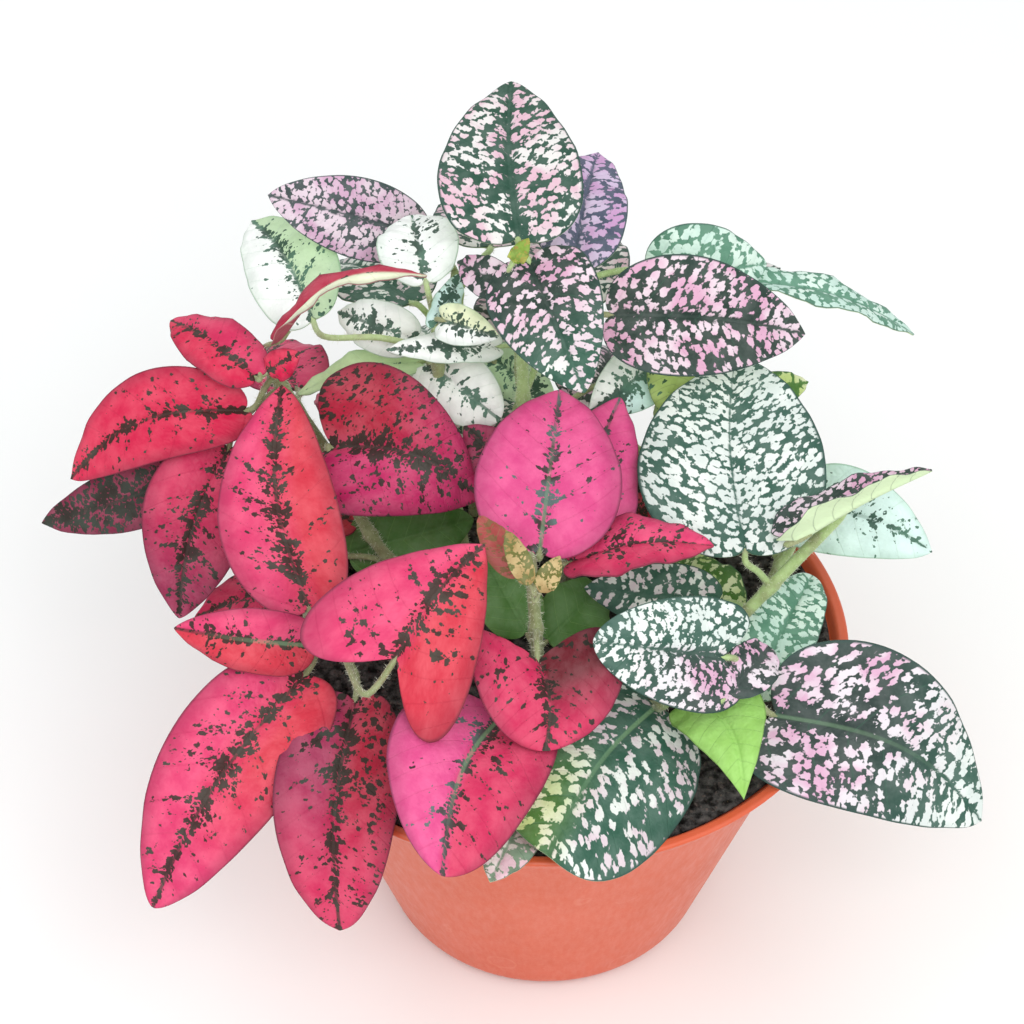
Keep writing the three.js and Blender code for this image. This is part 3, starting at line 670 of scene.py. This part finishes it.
def keep_evaluated(made):
    """Replaces an object's mesh by what its modifiers make of it, and removes them"""
    graph = bpy.context.evaluated_depsgraph_get()
    result = bpy.data.meshes.new_from_object(made.evaluated_get(graph), depsgraph=graph)
    made.modifiers.clear()
    made.data = result


def write_values(mesh, name, numbers):
    """Keeps what the patterns read, one number or vector for each point of the mesh"""
    kind, part = ("FLOAT", "value") if numbers.ndim == 1 else ("FLOAT_VECTOR", "vector")
    mesh.attributes.new(name, kind, "POINT").data.foreach_set(part, numbers.astype(np.float32).ravel())


def stem_parts(path, leaves):
    """The stem and its leaves' stalks as bars, each its places and faces"""
    x, y, _ = path[0]
    points = [(x, y, SOIL_TOP - BURIED_LENGTH), (x, y, SOIL_TOP)] + path
    shares = np.linspace(0, 1, STEM_STEPS + 1)
    way = curve_points(points, shares)
    plain = STEM_RADIUS - STEM_TAPER * shares
    radii = plain
    joints = curve_points(path, [blade["leaves_at"] for blade in leaves])
    for joint in joints:
        far = np.linalg.norm(way - joint, axis=1)
        radii = np.maximum(radii, plain + NODE_SWELLING * np.exp(-(far / NODE_LENGTH) ** 2))
    radii[-2:] *= STEM_END
    bars = [bar(way, radii, STEM_SIDES)]
    shares = np.linspace(0, 1, STALK_STEPS + 1)
    thinning = np.clip((shares - 1) / STALK_END_SHARE + 1, 0, 1)
    radii = STALK_RADIUS - STALK_TAPER * shares - STALK_END * thinning
    for number, (blade, start) in enumerate(zip(leaves, joints)):
        chord, _, _, length = blade_frame(blade)
        inside, out, _ = blade_middle(blade, number, STALK_SINK / length, 0)
        reach = np.linalg.norm(start - blade["base"])
        before = blade["base"] - STALK_RUN_IN * reach * chord
        middle = (start + before) / 2 + np.array([0, 0, STALK_RISE * reach])
        way = curve_points([start, middle, before, blade["base"] - STALK_DROP / 2 * out,
                            inside - STALK_DROP * out], shares)
        size = min(1, THINNEST_STALK + blade["width"] / FULL_STALK_BLADE)
        bars.append(bar(way, size * radii, STALK_SIDES))
    return bars


def make_stem(node, path, leaves, first_seed, materials):
    """One leafy stem, grown as one piece, with a material for its bars and one for each kind of leaf"""
    variety = node.split("_")[0]
    bars = stem_parts(path, leaves)
    blades = [blade_mesh(blade, number, first_seed + number) for number, blade in enumerate(leaves)]
    kinds = ["green" if blade["look"] in GREEN_LOOKS else variety for blade in leaves]
    parts = bars + [(places, faces) for places, faces, _ in blades]
    part_finishes = ["stem skin"] * len(bars) + [kind + " leaf" for kind in kinds]
    finishes = list(dict.fromkeys(part_finishes))
    made = make_object(node + "_grown", *joined(parts))
    for finish in finishes:
        made.data.materials.append(materials[finish])
    indices = []
    for (_, faces), finish in zip(parts, part_finishes):
        indices += [finishes.index(finish)] * len(faces)
    made.data.polygons.foreach_set("material_index", indices)
    bar_points = sum(len(places) for places, _ in bars)
    for name in blades[0][2]:
        on_blades = np.concatenate([values[name] for _, _, values in blades])
        on_bars = np.zeros((bar_points, *on_blades.shape[1:]))
        if name == "ground_colour":
            on_bars[:] = srgb(*STEM_COLOURS[variety])
        write_values(made.data, name, np.concatenate([on_bars, on_blades]))
    as_piece(made, node)


# Pot

def rounded_profile(corners):
    """A profile whose corners are rounded by the radius each of them gives"""
    points = []
    for number, (radius, height, rounding) in enumerate(corners):
        here = np.array([radius, height], float)
        if rounding == 0 or number in (0, len(corners) - 1):
            points.append(here)
            continue
        before = np.array(corners[number - 1][:2], float)
        after = np.array(corners[number + 1][:2], float)
        back, on = unit(before - here), unit(after - here)
        shortest = min(np.linalg.norm(before - here), np.linalg.norm(after - here))
        reach = min(rounding, CORNER_REACH * shortest)
        for step in range(CORNER_STEPS + 1):
            share = step / CORNER_STEPS
            points.append(here + reach * ((1 - share) ** 2 * back + share ** 2 * on))
    return points


def pot_inside(gap, rounding=0):
    """The pot's inside from its floor up to the collar, moved in and up by this gap"""
    return [
        (0, WALL + gap, 0),
        (FLOOR_RADIUS - gap, WALL + gap, rounding),
        (BASE_RADIUS - WALL - gap, HEEL_HEIGHT + gap, rounding),
        (BODY_TOP_RADIUS - WALL - gap, LEDGE_HEIGHT - LEDGE_FALL + gap, rounding),
        (COLLAR_FOOT_RADIUS - WALL - gap, LEDGE_HEIGHT + gap, rounding),
    ]


def revolve(profile, segments):
    """Places and faces of a profile turned round the pot's axis; points on the axis become one"""
    places, rings, faces = [], [], []
    for radius, height in profile:
        if radius == 0:
            places.append((0, 0, height))
            rings.append([len(places) - 1] * segments)
            continue
        start = len(places)
        for step in range(segments):
            angle = 2 * math.pi * step / segments
            places.append((radius * math.cos(angle), radius * math.sin(angle), height))
        rings.append(list(range(start, start + segments)))
    for low, high in zip(rings, rings[1:]):
        for step in range(segments):
            after = (step + 1) % segments
            corners = tuple(dict.fromkeys((low[step], low[after], high[after], high[step])))
            if len(corners) > 2:
                faces.append(corners)
    return places, faces


def make_pot(material):
    """Tapered pot with a collar round its rim and drain holes through its floor"""
    outside = [
        (0, 0, 0),
        (STANDING_RADIUS, 0, 0.8),
        (*HEEL_BULGE, 1.2),
        (BASE_RADIUS, HEEL_HEIGHT, 1.5),
        (BODY_TOP_RADIUS, COLLAR_FOOT, 0.5),
        (COLLAR_FOOT_RADIUS, COLLAR_FOOT, 0.5),
        (RIM_RADIUS, POT_HEIGHT - LIP_ROUNDING, 0.7),
        (RIM_RADIUS - LIP_ROUNDING, POT_HEIGHT, 0.5),
        (RIM_RADIUS - LIP_WIDTH + LIP_ROUNDING, POT_HEIGHT, 0.5),
        (RIM_RADIUS - LIP_WIDTH, POT_HEIGHT - LIP_ROUNDING, 0.7),
    ]
    profile = rounded_profile(outside + pot_inside(0, 0.5)[::-1])
    pot = make_object("pot_shell", *revolve(profile, POT_SEGMENTS))
    cutters = bmesh.new()
    for hole in range(DRAIN_HOLES):
        middle = around(360 * hole / DRAIN_HOLES, DRAIN_CIRCLE_RADIUS, WALL / 2) * MM
        made = bmesh.ops.create_cone(
            cutters, cap_ends=True, segments=DRAIN_HOLE_SIDES, radius1=DRAIN_HOLE_RADIUS * MM,
            radius2=DRAIN_HOLE_RADIUS * MM, depth=3 * WALL * MM)
        bmesh.ops.translate(cutters, verts=made["verts"], vec=middle)
    cutter_mesh = bpy.data.meshes.new("drain_cutters")
    cutters.to_mesh(cutter_mesh)
    cutters.free()
    cutter = add_object("drain_cutters", cutter_mesh)
    drill = pot.modifiers.new("drain holes", "BOOLEAN")
    drill.object = cutter
    drill.operation = "DIFFERENCE"
    keep_evaluated(pot)
    bpy.data.objects.remove(cutter)
    pot.data.shade_smooth()
    pot.data.set_sharp_from_angle(angle=SHARPEST_ROUNDING)
    pot.data.materials.clear()
    pot.data.materials.append(material)
    as_piece(pot, "pot")


# Soil

def with_crumbs(places, top):
    """These places with those at the top made uneven, by a sum of waves in many directions"""
    places = np.array(places)
    lifted = places[:, 2] == top
    x, y = places[lifted, 0], places[lifted, 1]
    draws = np.random.default_rng(CRUMB_SEED)
    total = np.zeros_like(x)
    for _ in range(CRUMB_WAVES):
        angle, phase = draws.uniform(0, 2 * math.pi, 2)
        width = draws.uniform(*CRUMB_WIDTHS)
        wave = np.sin(2 * math.pi * (x * math.cos(angle) + y * math.sin(angle)) / width + phase)
        total += wave * width ** CRUMB_GROWTH
    places[lifted, 2] += CRUMB_HEIGHT * total / np.abs(total).max()
    return places


def make_soil(material, grain_material):
    """Soil that fills the pot up to its collar, crumbly on top, with loose grains on it"""
    edge = COLLAR_FOOT_RADIUS - WALL - SOIL_GAP
    top = SOIL_TOP + CRUMB_LIFT
    shell = [(radius, height) for radius, height, _ in pot_inside(SOIL_GAP)] + [(edge, SOIL_TOP)]
    rings = [(edge * (1 - ring / SOIL_RINGS), top) for ring in range(1, SOIL_RINGS + 1)]
    places, faces = revolve(shell + rings, SOIL_SEGMENTS)
    soil = make_object("soil_fill", with_crumbs(places, top), faces)
    soil.data.materials.append(material)
    as_piece(soil, "soil")
    bed = [(radius, top) for radius in np.linspace(edge - GRAIN_MARGIN, 0, SOIL_RINGS)]
    places, faces = revolve(bed, SOIL_SEGMENTS // 2)
    grains = make_object("soil_grains", with_crumbs(places, top), faces)
    scatter(grains, grain_tree(), {"Density": GRAIN_DENSITY / MM ** 2, "Smallest": GRAIN_SIZE[0] * MM,
                                   "Largest": GRAIN_SIZE[1] * MM, "Material": grain_material})
    as_piece(grains, None)


# Nodes

class Wire:
    """One output of a node. A formula written with it adds the nodes that work it out to its tree"""

    def __init__(self, socket):
        self.socket = socket
        self.tree = socket.id_data

    def calc(self, operation, *values):
        """What a Math node makes of this value and these"""
        return add_node(self.tree, "ShaderNodeMath", self, *values, operation=operation)[0]

    def __add__(self, other):
        return self.calc("ADD", other)

    def __sub__(self, other):
        return self.calc("SUBTRACT", other)

    def __mul__(self, other):
        return self.calc("MULTIPLY", other)

    def __truediv__(self, other):
        return self.calc("DIVIDE", other)

    def __rtruediv__(self, other):
        return add_node(self.tree, "ShaderNodeMath", other, self, operation="DIVIDE")[0]

    def __abs__(self):
        return self.calc("ABSOLUTE")

    def ease(self, low, high, to_low=0.0, to_high=1.0):
        """Goes softly from to_low to to_high while this value goes from low to high"""
        return add_node(self.tree, "ShaderNodeMapRange", self, low, high, to_low, to_high,
                        interpolation_type="SMOOTHSTEP")["Result"]

    def stretched(self, amounts):
        """This vector with each of its parts multiplied"""
        return add_node(self.tree, "ShaderNodeVectorMath", self, amounts, operation="MULTIPLY")[0]

    def split(self):
        """The three parts of this vector"""
        return add_node(self.tree, "ShaderNodeSeparateXYZ", self)


class Wires:
    """The outputs of a node, by name or number"""

    def __init__(self, outputs):
        self.outputs = outputs

    def __getitem__(self, key):
        return Wire(self.outputs[key])


def put(socket, value):
    """Gives an input a wire or a plain value"""
    if isinstance(value, Wire):
        value.tree.links.new(value.socket, socket)
    elif socket.type == "RGBA":
        socket.default_value = (*srgb(*value), 1)
    else:
        socket.default_value = value


def fill(inputs, **values):
    """Gives inputs their values by name, with _ for the name's spaces"""
    for name, value in values.items():
        put(inputs[name.replace("_", " ")], value)


def add_node(tree, kind, *values, **named):
    """Adds a node and gives its outputs. Values go to its inputs in their order. Of the named values,
    those in small letters are the node's settings, and the others go to the inputs of that name"""
    made = tree.nodes.new(kind)
    for name, value in named.items():
        if name.islower():
            setattr(made, name, value)
    for socket, value in zip(made.inputs, values):
        put(socket, value)
    fill(made.inputs, **{name: value for name, value in named.items() if not name.islower()})
    return Wires(made.outputs)


def use_group(tree, group, **inputs):
    return add_node(tree, "ShaderNodeGroup", node_tree=group, **inputs)


def new_tree(kind, name, inputs, outputs):
    """A tree with these inputs and outputs, which hold numbers where SOCKET_KINDS doesn't name them: the
    tree, its inputs as wires, and the sockets of its outputs"""
    tree = bpy.data.node_groups.new(name, kind)
    for side, titles in (("INPUT", inputs), ("OUTPUT", outputs)):
        for title in titles:
            socket_type = "NodeSocket" + SOCKET_KINDS.get(title, "Float")
            tree.interface.new_socket(title, in_out=side, socket_type=socket_type)
    return tree, add_node(tree, "NodeGroupInput"), tree.nodes.new("NodeGroupOutput").inputs


# Grains and hairs

def scatter(made, tree, inputs):
    """Runs a tree on an object with these inputs, and keeps the result as a plain mesh"""
    modifier = made.modifiers.new("scatter", "NODES")
    modifier.node_group = tree
    for item in tree.interface.items_tree:
        if item.name in inputs:
            modifier[item.identifier] = inputs[item.name]
    keep_evaluated(made)


def random_between(tree, kind, low, high, seed):
    """A random number or vector between two values, with a fixed seed"""
    return add_node(tree, "FunctionNodeRandomValue", data_type=kind, Min=low, Max=high, Seed=seed)["Value"]


def strew(tree, entry, seed):
    """Points strewn over the surface that comes in, and the directions in which they stand out of it"""
    points = add_node(tree, "GeometryNodeDistributePointsOnFaces", Mesh=entry["Geometry"],
                      Density=entry["Density"], Seed=seed)
    return points["Points"], points["Rotation"]


def place_copies(tree, points, shape, turn, scale):
    """Copies of a shape on these points, as real faces"""
    copies = add_node(tree, "GeometryNodeInstanceOnPoints", Points=points, Instance=shape, Rotation=turn,
                      Scale=scale)["Instances"]
    return add_node(tree, "GeometryNodeRealizeInstances", copies)[0]


def grain_tree():
    """Crumbs of soil strewn over a surface: flattened lumps of many sizes"""
    tree, entry, final = new_tree("GeometryNodeTree", "soil grains",
                                  ["Geometry", "Density", "Smallest", "Largest", "Material"], ["Geometry"])
    points, _ = strew(tree, entry, seed=11)
    lump = add_node(tree, "GeometryNodeMeshIcoSphere", Radius=0.5, Subdivisions=1)["Mesh"]
    turn = random_between(tree, "FLOAT_VECTOR", (0, 0, 0), ALL_ROUND, seed=3)
    size = random_between(tree, "FLOAT", entry["Smallest"], entry["Largest"], seed=4)
    shape = random_between(tree, "FLOAT_VECTOR", FLATTEST_GRAIN, FULLEST_GRAIN, seed=5)
    grains = place_copies(tree, points, lump, turn, shape.stretched(size))
    clouds = add_node(tree, "ShaderNodeTexNoise", Scale=GRAIN_LUMPS_PER_MM / MM)["Color"]
    shift = add_node(tree, "ShaderNodeVectorMath", clouds, [GRAIN_LUMP_HEIGHT * MM] * 3,
                     [-GRAIN_LUMP_HEIGHT / 2 * MM] * 3, operation="MULTIPLY_ADD")[0]
    uneven = add_node(tree, "GeometryNodeSetPosition", Geometry=grains, Offset=shift)[0]
    coated = add_node(tree, "GeometryNodeSetMaterial", Geometry=uneven, Material=entry["Material"])[0]
    put(final["Geometry"], coated)
    return tree


def hair_tree():
    """Fine short hairs that stand out of a surface"""
    tree, entry, final = new_tree("GeometryNodeTree", "stem hairs",
                                  ["Geometry", "Density", "Length", "Width", "Material"], ["Geometry"])
    points, outwards = strew(tree, entry, seed=23)
    hair = add_node(tree, "GeometryNodeMeshCone", fill_type="NONE", Vertices=3, Radius_Top=0.0,
                    Radius_Bottom=entry["Width"], Depth=entry["Length"])["Mesh"]
    angles = random_between(tree, "FLOAT_VECTOR", (-HAIR_LEAN, -HAIR_LEAN, 0),
                            (HAIR_LEAN, HAIR_LEAN, ALL_ROUND[2]), seed=8)
    lean = add_node(tree, "FunctionNodeEulerToRotation", angles)[0]
    turn = add_node(tree, "FunctionNodeRotateRotation", rotation_space="LOCAL", Rotation=outwards,
                    Rotate_By=lean)[0]
    hairs = place_copies(tree, points, hair, turn, random_between(tree, "FLOAT", *HAIR_SCALES, seed=9))
    coated = add_node(tree, "GeometryNodeSetMaterial", Geometry=hairs, Material=entry["Material"])[0]
    put(final["Geometry"], coated)
    return tree


def make_hairs(material):
    """Hairs on every stem and stalk above the soil"""
    bars = []
    for path, leaves in STEMS.values():
        for places, faces in stem_parts(path, leaves):
            hairy = [face for face in faces[:-2] if places[face[0]][2] > SOIL_TOP + HAIRLESS_FOOT]
            bars.append((places, hairy))
    hairs = make_object("stem_hairs", *joined(bars))
    scatter(hairs, hair_tree(), {"Density": HAIR_DENSITY / MM ** 2, "Length": HAIR_LENGTH * MM,
                                 "Width": HAIR_WIDTH * MM, "Material": material})
    as_piece(hairs, None)


# Patterns

def attribute(tree, name, output="Vector"):
    return add_node(tree, "ShaderNodeAttribute", attribute_name=name)[output]


def noise(place, scale, detail=2.0, roughness=0.5):
    return add_node(place.tree, "ShaderNodeTexNoise", Vector=place, Scale=scale, Detail=detail,
                    Roughness=roughness)["Fac"]


def blend(share, first, second):
    return add_node(share.tree, "ShaderNodeMix", data_type="RGBA", Factor=share, A=first,
                    B=second)["Result"]


def bump(height, distance, strength):
    return add_node(height.tree, "ShaderNodeBump", Height=height, Distance=distance,
                    Strength=strength)["Normal"]


def from_side_vein(vein):
    """How far a place is from being on a side vein: 0.5 on it, 0 midway between two"""
    return abs(vein.calc("FRACT") - 0.5)


def blot_group():
    """Uneven blots that merge where they are many: how much of the face they cover, their spacing in mm,
    how ragged they are, and what share of them is not shrunk"""
    tree, entry, final = new_tree(
        "ShaderNodeTree", "blots", ["Place", "Coverage", "Spacing", "Raggedness", "Full Share"],
        ["Mask", "Dice"])
    place, spacing = entry["Place"], entry["Spacing"]
    cells = add_node(tree, "ShaderNodeTexVoronoi", Vector=place.stretched((0.7, 1.0, 1.0)),
                     Scale=1.0 / spacing)
    chance = add_node(tree, "ShaderNodeSeparateColor", cells["Color"])
    ragged = noise(place.stretched(1.9 / spacing), 1.0, 1.6) - 0.5
    far = cells["Distance"] - ragged * entry["Raggedness"]
    shrunk = chance[1].calc("GREATER_THAN", entry["Full Share"])
    limit = entry["Coverage"] * 0.57 + 0.265 - shrunk * 0.32
    fill(final, Mask=(limit - far).ease(-0.05, 0.05), Dice=chance[0])
    return tree


def clump_group():
    """How much dark marks cover at this place: much at the midrib, less beyond their reach in mm and
    between the side veins, and least at the blade's edge"""
    tree, entry, final = new_tree(
        "ShaderNodeTree", "midrib clumps", ["Place", "Along", "Edge", "Vein", "Reach", "Flecks"],
        ["Coverage", "Line"])
    place, along = entry["Place"], entry["Along"]
    across = abs(place.split()[0])
    reach = along.ease(0.0, 0.25, 0.6, 1.0) * along.ease(0.55, 0.98, 1.0, 0.25) * entry["Reach"]
    share = across / reach.calc("MAXIMUM", 0.05)
    patches = noise(place.stretched((0.5, 1.0, 1.0)), 0.17, 1.0) - 0.5
    strewn = entry["Flecks"] * 0.9 - 0.7 + entry["Edge"].ease(0.45, 1.0, 0.0, -0.3)
    near = share.ease(0.0, 1.3, 1.1, 0.0)
    branches = from_side_vein(entry["Vein"]).ease(0.2, 0.5, -0.12, 0.45) * share.ease(1.0, 4.0, 1.0, 0.3)
    coverage = strewn + near + branches + patches * 2.0
    line = across.ease(0.5, 0.2) * entry["Reach"].ease(0.4, 2.0, 0.0, 0.85) * patches.ease(-0.12, -0.02)
    fill(final, Coverage=coverage.calc("MINIMUM", 0.76), Line=line)
    return tree


def vein_group():
    """Lines of the midrib and the side veins, and the height of the fine relief between them"""
    tree, entry, final = new_tree("ShaderNodeTree", "leaf veins", ["Place", "Across", "Vein"],
                                  ["Lines", "Midrib", "Height"])
    lines = from_side_vein(entry["Vein"]).ease(0.45, 0.5)
    midrib = abs(entry["Across"]).ease(0.65, 0.25)
    net = add_node(tree, "ShaderNodeTexVoronoi", feature="DISTANCE_TO_EDGE", Vector=entry["Place"],
                   Scale=0.75)
    cushions = net["Distance"].ease(0.0, 0.35)
    height = cushions * 0.6 + noise(entry["Place"], 4.0) * 0.25 - lines * 0.8 - midrib * 0.8
    fill(final, Lines=lines, Midrib=midrib, Height=height)
    return tree


def mottle_group():
    """Uneven depth of colour, from slightly darker to slightly lighter than the colour it is given"""
    tree, entry, final = new_tree("ShaderNodeTree", "mottling", ["Place", "Colour", "Width", "Strength"],
                                  ["Colour"])
    strength, colour = entry["Strength"], entry["Colour"]
    clouds = noise(entry["Place"], 1.0 / entry["Width"], 4.0, 0.6).ease(0.3, 0.7)
    darker = blend(strength, colour, BLACK)
    lighter = blend(strength * 0.35, colour, WHITE)
    fill(final, Colour=blend(clouds, darker, lighter))
    return tree


def mottled(groups, place, colour, width, strength):
    """A colour with uneven depth, in clouds of this width in mm"""
    return use_group(place.tree, groups["mottling"], Place=place, Colour=colour, Width=width,
                     Strength=strength)["Colour"]


# Materials

def new_material(name):
    """A material with its shader: the material, its tree and the shader's inputs"""
    material = bpy.data.materials.new(name)
    material.use_nodes = True
    return material, material.node_tree, material.node_tree.nodes["Principled BSDF"].inputs


def leaf_material(kind, groups, spacing, margin_and_shade, margin_shade_share, underside, vein_colour, vein_share):
    """Upper face with its marks over the ground colour, painted shade that darkens it towards the edge, a
    thin dark edge line and side veins; paler underside
    """
    material, tree, shader = new_material(kind + " leaf")
    place = attribute(tree, "blade_place")
    vein_place = attribute(tree, "vein_place")
    slanted = add_node(tree, "ShaderNodeMix", data_type="VECTOR", Factor=MARK_SLANT, A=place,
                       B=vein_place)["Result"]
    across = place.split()[0]
    along, side, vein = attribute(tree, "blade_share").split()
    cover, reach, flecks = attribute(tree, "mark_amounts").split()
    edge = abs(side)
    spacing = attribute(tree, "grain", "Fac") * spacing
    veins = use_group(tree, groups["veins"], Place=place, Across=across, Vein=vein)
    ground = mottled(groups, place, attribute(tree, "ground_colour", "Color"), 5.0, 0.14)
    ground = blend(veins["Lines"] * vein_share, ground, vein_colour)
    # Painted shade: the ground darkens towards the blade's edge, standing for the shade there
    ground = blend(edge.ease(0.6, 1.0, 0.0, margin_shade_share), ground, margin_and_shade)

    def blots(coverage, spacing, raggedness, full_share):
        return use_group(tree, groups["blots"], Place=slanted, Coverage=coverage, Spacing=spacing,
                         Raggedness=raggedness, Full_Share=full_share)

    if kind == "speckled":
        crowded = noise(place, 0.11, 1.0) - 0.5
        main_blots = blots(crowded * 0.5 + cover, spacing, 0.9, 1.0)
        ragged = noise(vein_place, 0.7).ease(0.3, 0.7, 0.2, 1.8)
        band = along.ease(0.0, 1.0, 1.0, 0.25) * ragged * reach
        marks = main_blots["Mask"] * (abs(across) - band).ease(-0.2, 0.3) * edge.ease(0.99, 0.955)
    else:
        clumps = use_group(tree, groups["clumps"], Place=vein_place, Along=along, Edge=edge, Vein=vein,
                           Reach=reach, Flecks=flecks)
        everywhere = cover - cover.calc("LESS_THAN", 0.01)
        coverage = clumps["Coverage"].calc("MAXIMUM", everywhere)
        main_blots = blots(coverage, spacing, 1.2, 0.62)
        dots = blots(coverage - DOT_RARITY, spacing * DOT_SHARE, 0.9, 0.6)
        marks = main_blots["Mask"].calc("MAXIMUM", dots["Mask"]).calc("MAXIMUM", clumps["Line"])
        marks = marks * (cover + reach).calc("GREATER_THAN", 0.02)
    tints = main_blots["Dice"] * 0.05 + noise(place, 0.12)
    mark_colour = blend(tints.ease(0.42, 0.64), attribute(tree, "mark_colour", "Color"),
                        attribute(tree, "second_mark", "Color"))
    colour = blend(marks * 0.94, ground, mark_colour)
    colour = blend(veins["Midrib"] * attribute(tree, "light_rib", "Fac"), colour, LIGHT_RIB_COLOUR)
    colour = blend(edge.ease(0.95, 0.995, 0.0, 0.6), colour, margin_and_shade)
    under = blend(veins["Lines"] * 0.35, underside, ground)
    fill(shader, Base_Color=blend(attribute(tree, "upper_face", "Fac"), under, colour),
         Roughness=veins["Height"].ease(0.0, 1.0, 0.56, 0.46), Normal=bump(veins["Height"], 0.00018, 0.5),
         Specular_IOR_Level=0.2)
    return material


def object_millimetres(tree):
    """The place on the object, in millimetres"""
    place = add_node(tree, "ShaderNodeTexCoord")["Object"]
    return place.stretched((1 / MM, 1 / MM, 1 / MM))


def stem_material(groups):
    """Hairy stems of their variety's green that turn brown in places and towards the soil"""
    material, tree, shader = new_material("stem skin")
    place = object_millimetres(tree)
    patches = noise(place, 0.12, 3.0).ease(0.46, 0.64)
    low = place.split()[2].ease(92.0, 76.0)
    brown = (patches * 0.75).calc("MAXIMUM", low * 0.6)
    colour = blend(brown, attribute(tree, "ground_colour", "Color"), (112, 94, 62))
    colour = mottled(groups, place, colour, 1.5, 0.2)
    streaks = noise(place.stretched((1.0, 1.0, 0.15)), 1.6, 3.0)
    fill(shader, Base_Color=blend(streaks * 0.35, colour, (198, 216, 160)),
         Roughness=streaks.ease(0.3, 0.7, 0.45, 0.6), Normal=bump(streaks, 0.0002, 0.7), Sheen_Weight=0.2)
    return material


def hair_material():
    material, tree, shader = new_material("stem hair")
    shade = noise(object_millimetres(tree), 0.3)
    fill(shader, Base_Color=blend(shade, (206, 214, 180), (236, 236, 222)),
         Roughness=shade.ease(0.3, 0.7, 0.5, 0.65))
    return material


def pot_material(groups):
    """Terracotta-coloured plastic with a soft gloss, faint dried water spots and fine scuffs"""
    material, tree, shader = new_material("terracotta plastic")
    place = object_millimetres(tree)
    colour = mottled(groups, place, (213, 90, 52), 24.0, 0.06)
    warped = add_node(tree, "ShaderNodeVectorMath", place, noise(place, 0.25) * 4.0, operation="ADD")[0]
    spots = add_node(tree, "ShaderNodeTexVoronoi", Vector=warped, Scale=0.11)
    ring = abs(spots["Distance"] - 0.34).ease(0.05, 0.0)
    chance = add_node(tree, "ShaderNodeSeparateColor", spots["Color"])[0]
    dried = ring * chance.calc("LESS_THAN", 0.12) * 0.08
    colour = blend(dried, colour, (248, 206, 186))
    dust = noise(place, 0.9, 5.0, 0.7).ease(0.56, 0.74)
    scuffs = noise(place.stretched((1.0, 1.0, 0.2)), 0.7, 4.0, 0.65)
    fill(shader, Base_Color=blend(dust * 0.12, colour, (232, 150, 118)),
         Roughness=scuffs.ease(0.25, 0.75, 0.34, 0.5), Normal=bump(noise(place, 2.2, 3.0), 0.00006, 0.5))
    return material


def soil_material(name, groups, dark, light, fleck_share):
    """Moist peat: near black with brown crumbs and pale flecks"""
    material, tree, shader = new_material(name)
    place = object_millimetres(tree)
    crumb = noise(place, 0.5, 6.0, 0.7)
    colour = blend(crumb.ease(0.4, 0.72), dark, light)
    colour = mottled(groups, place, colour, 2.0, 0.3)
    flecks = noise(place, 1.3).ease(0.68, 0.74)
    fill(shader, Base_Color=blend(flecks * fleck_share, colour, (158, 132, 104)),
         Roughness=crumb.ease(0.3, 0.7, 0.75, 0.98), Normal=bump(noise(place, 1.6, 5.0, 0.7), 0.0008, 0.9),
         Specular_IOR_Level=0.1)
    return material


def make_materials():
    groups = {"blots": blot_group(), "clumps": clump_group(), "veins": vein_group(),
              "mottling": mottle_group()}
    leaves = {kind + " leaf": leaf_material(kind, groups, *skin) for kind, skin in LEAF_SKINS.items()}
    return {
        **leaves,
        "stem skin": stem_material(groups),
        "stem hair": hair_material(),
        "pot": pot_material(groups),
        "soil": soil_material("potting soil", groups, (17, 12, 8), (50, 34, 22), 0.2),
        "soil grains": soil_material("soil grains", groups, (22, 15, 9), (84, 56, 36), 0.45),
    }


# Studio

def make_floor():
    corners = [(-FLOOR_REACH, -FLOOR_REACH), (FLOOR_REACH, -FLOOR_REACH), (FLOOR_REACH, FLOOR_REACH),
               (-FLOOR_REACH, FLOOR_REACH)]
    floor = make_object("floor", [(x / MM, y / MM, 0) for x, y in corners], [(0, 1, 2, 3)])
    material, tree, shader = new_material("floor")
    shade = noise(object_millimetres(tree), 0.004)
    fill(shader, Base_Color=blend(shade, *FLOOR_COLOURS), Roughness=0.9)
    floor.data.materials.append(material)


def make_lights():
    """Soft light from all round, with four large lamps, the brightest in front"""
    world = bpy.data.worlds.new("studio")
    world.use_nodes = True
    fill(world.node_tree.nodes["Background"].inputs, Color=WHITE, Strength=WORLD_LIGHT)
    bpy.context.scene.world = world
    bpy.context.scene.view_settings.view_transform = "Standard"
    for name, place, size, power, colour in LAMPS:
        light = bpy.data.lights.new(name, "AREA")
        light.size = size
        light.energy = power
        light.color = colour
        lamp = add_object(name, light)
        lamp.location = place
        aim = np.array(LAMP_TARGET) - np.array(place)
        lamp.rotation_euler = (math.atan2(math.hypot(aim[0], aim[1]), -aim[2]), 0,
                               math.atan2(aim[0], -aim[1]) + math.pi)


make_camera()
make_floor()
make_lights()
materials = make_materials()
make_pot(materials["pot"])
make_soil(materials["soil"], materials["soil grains"])
seed = 1
for stem_name, (stem_path, stem_leaves) in STEMS.items():
    make_stem(stem_name, stem_path, stem_leaves, seed, materials)
    seed += len(stem_leaves)
make_hairs(materials["stem hair"])
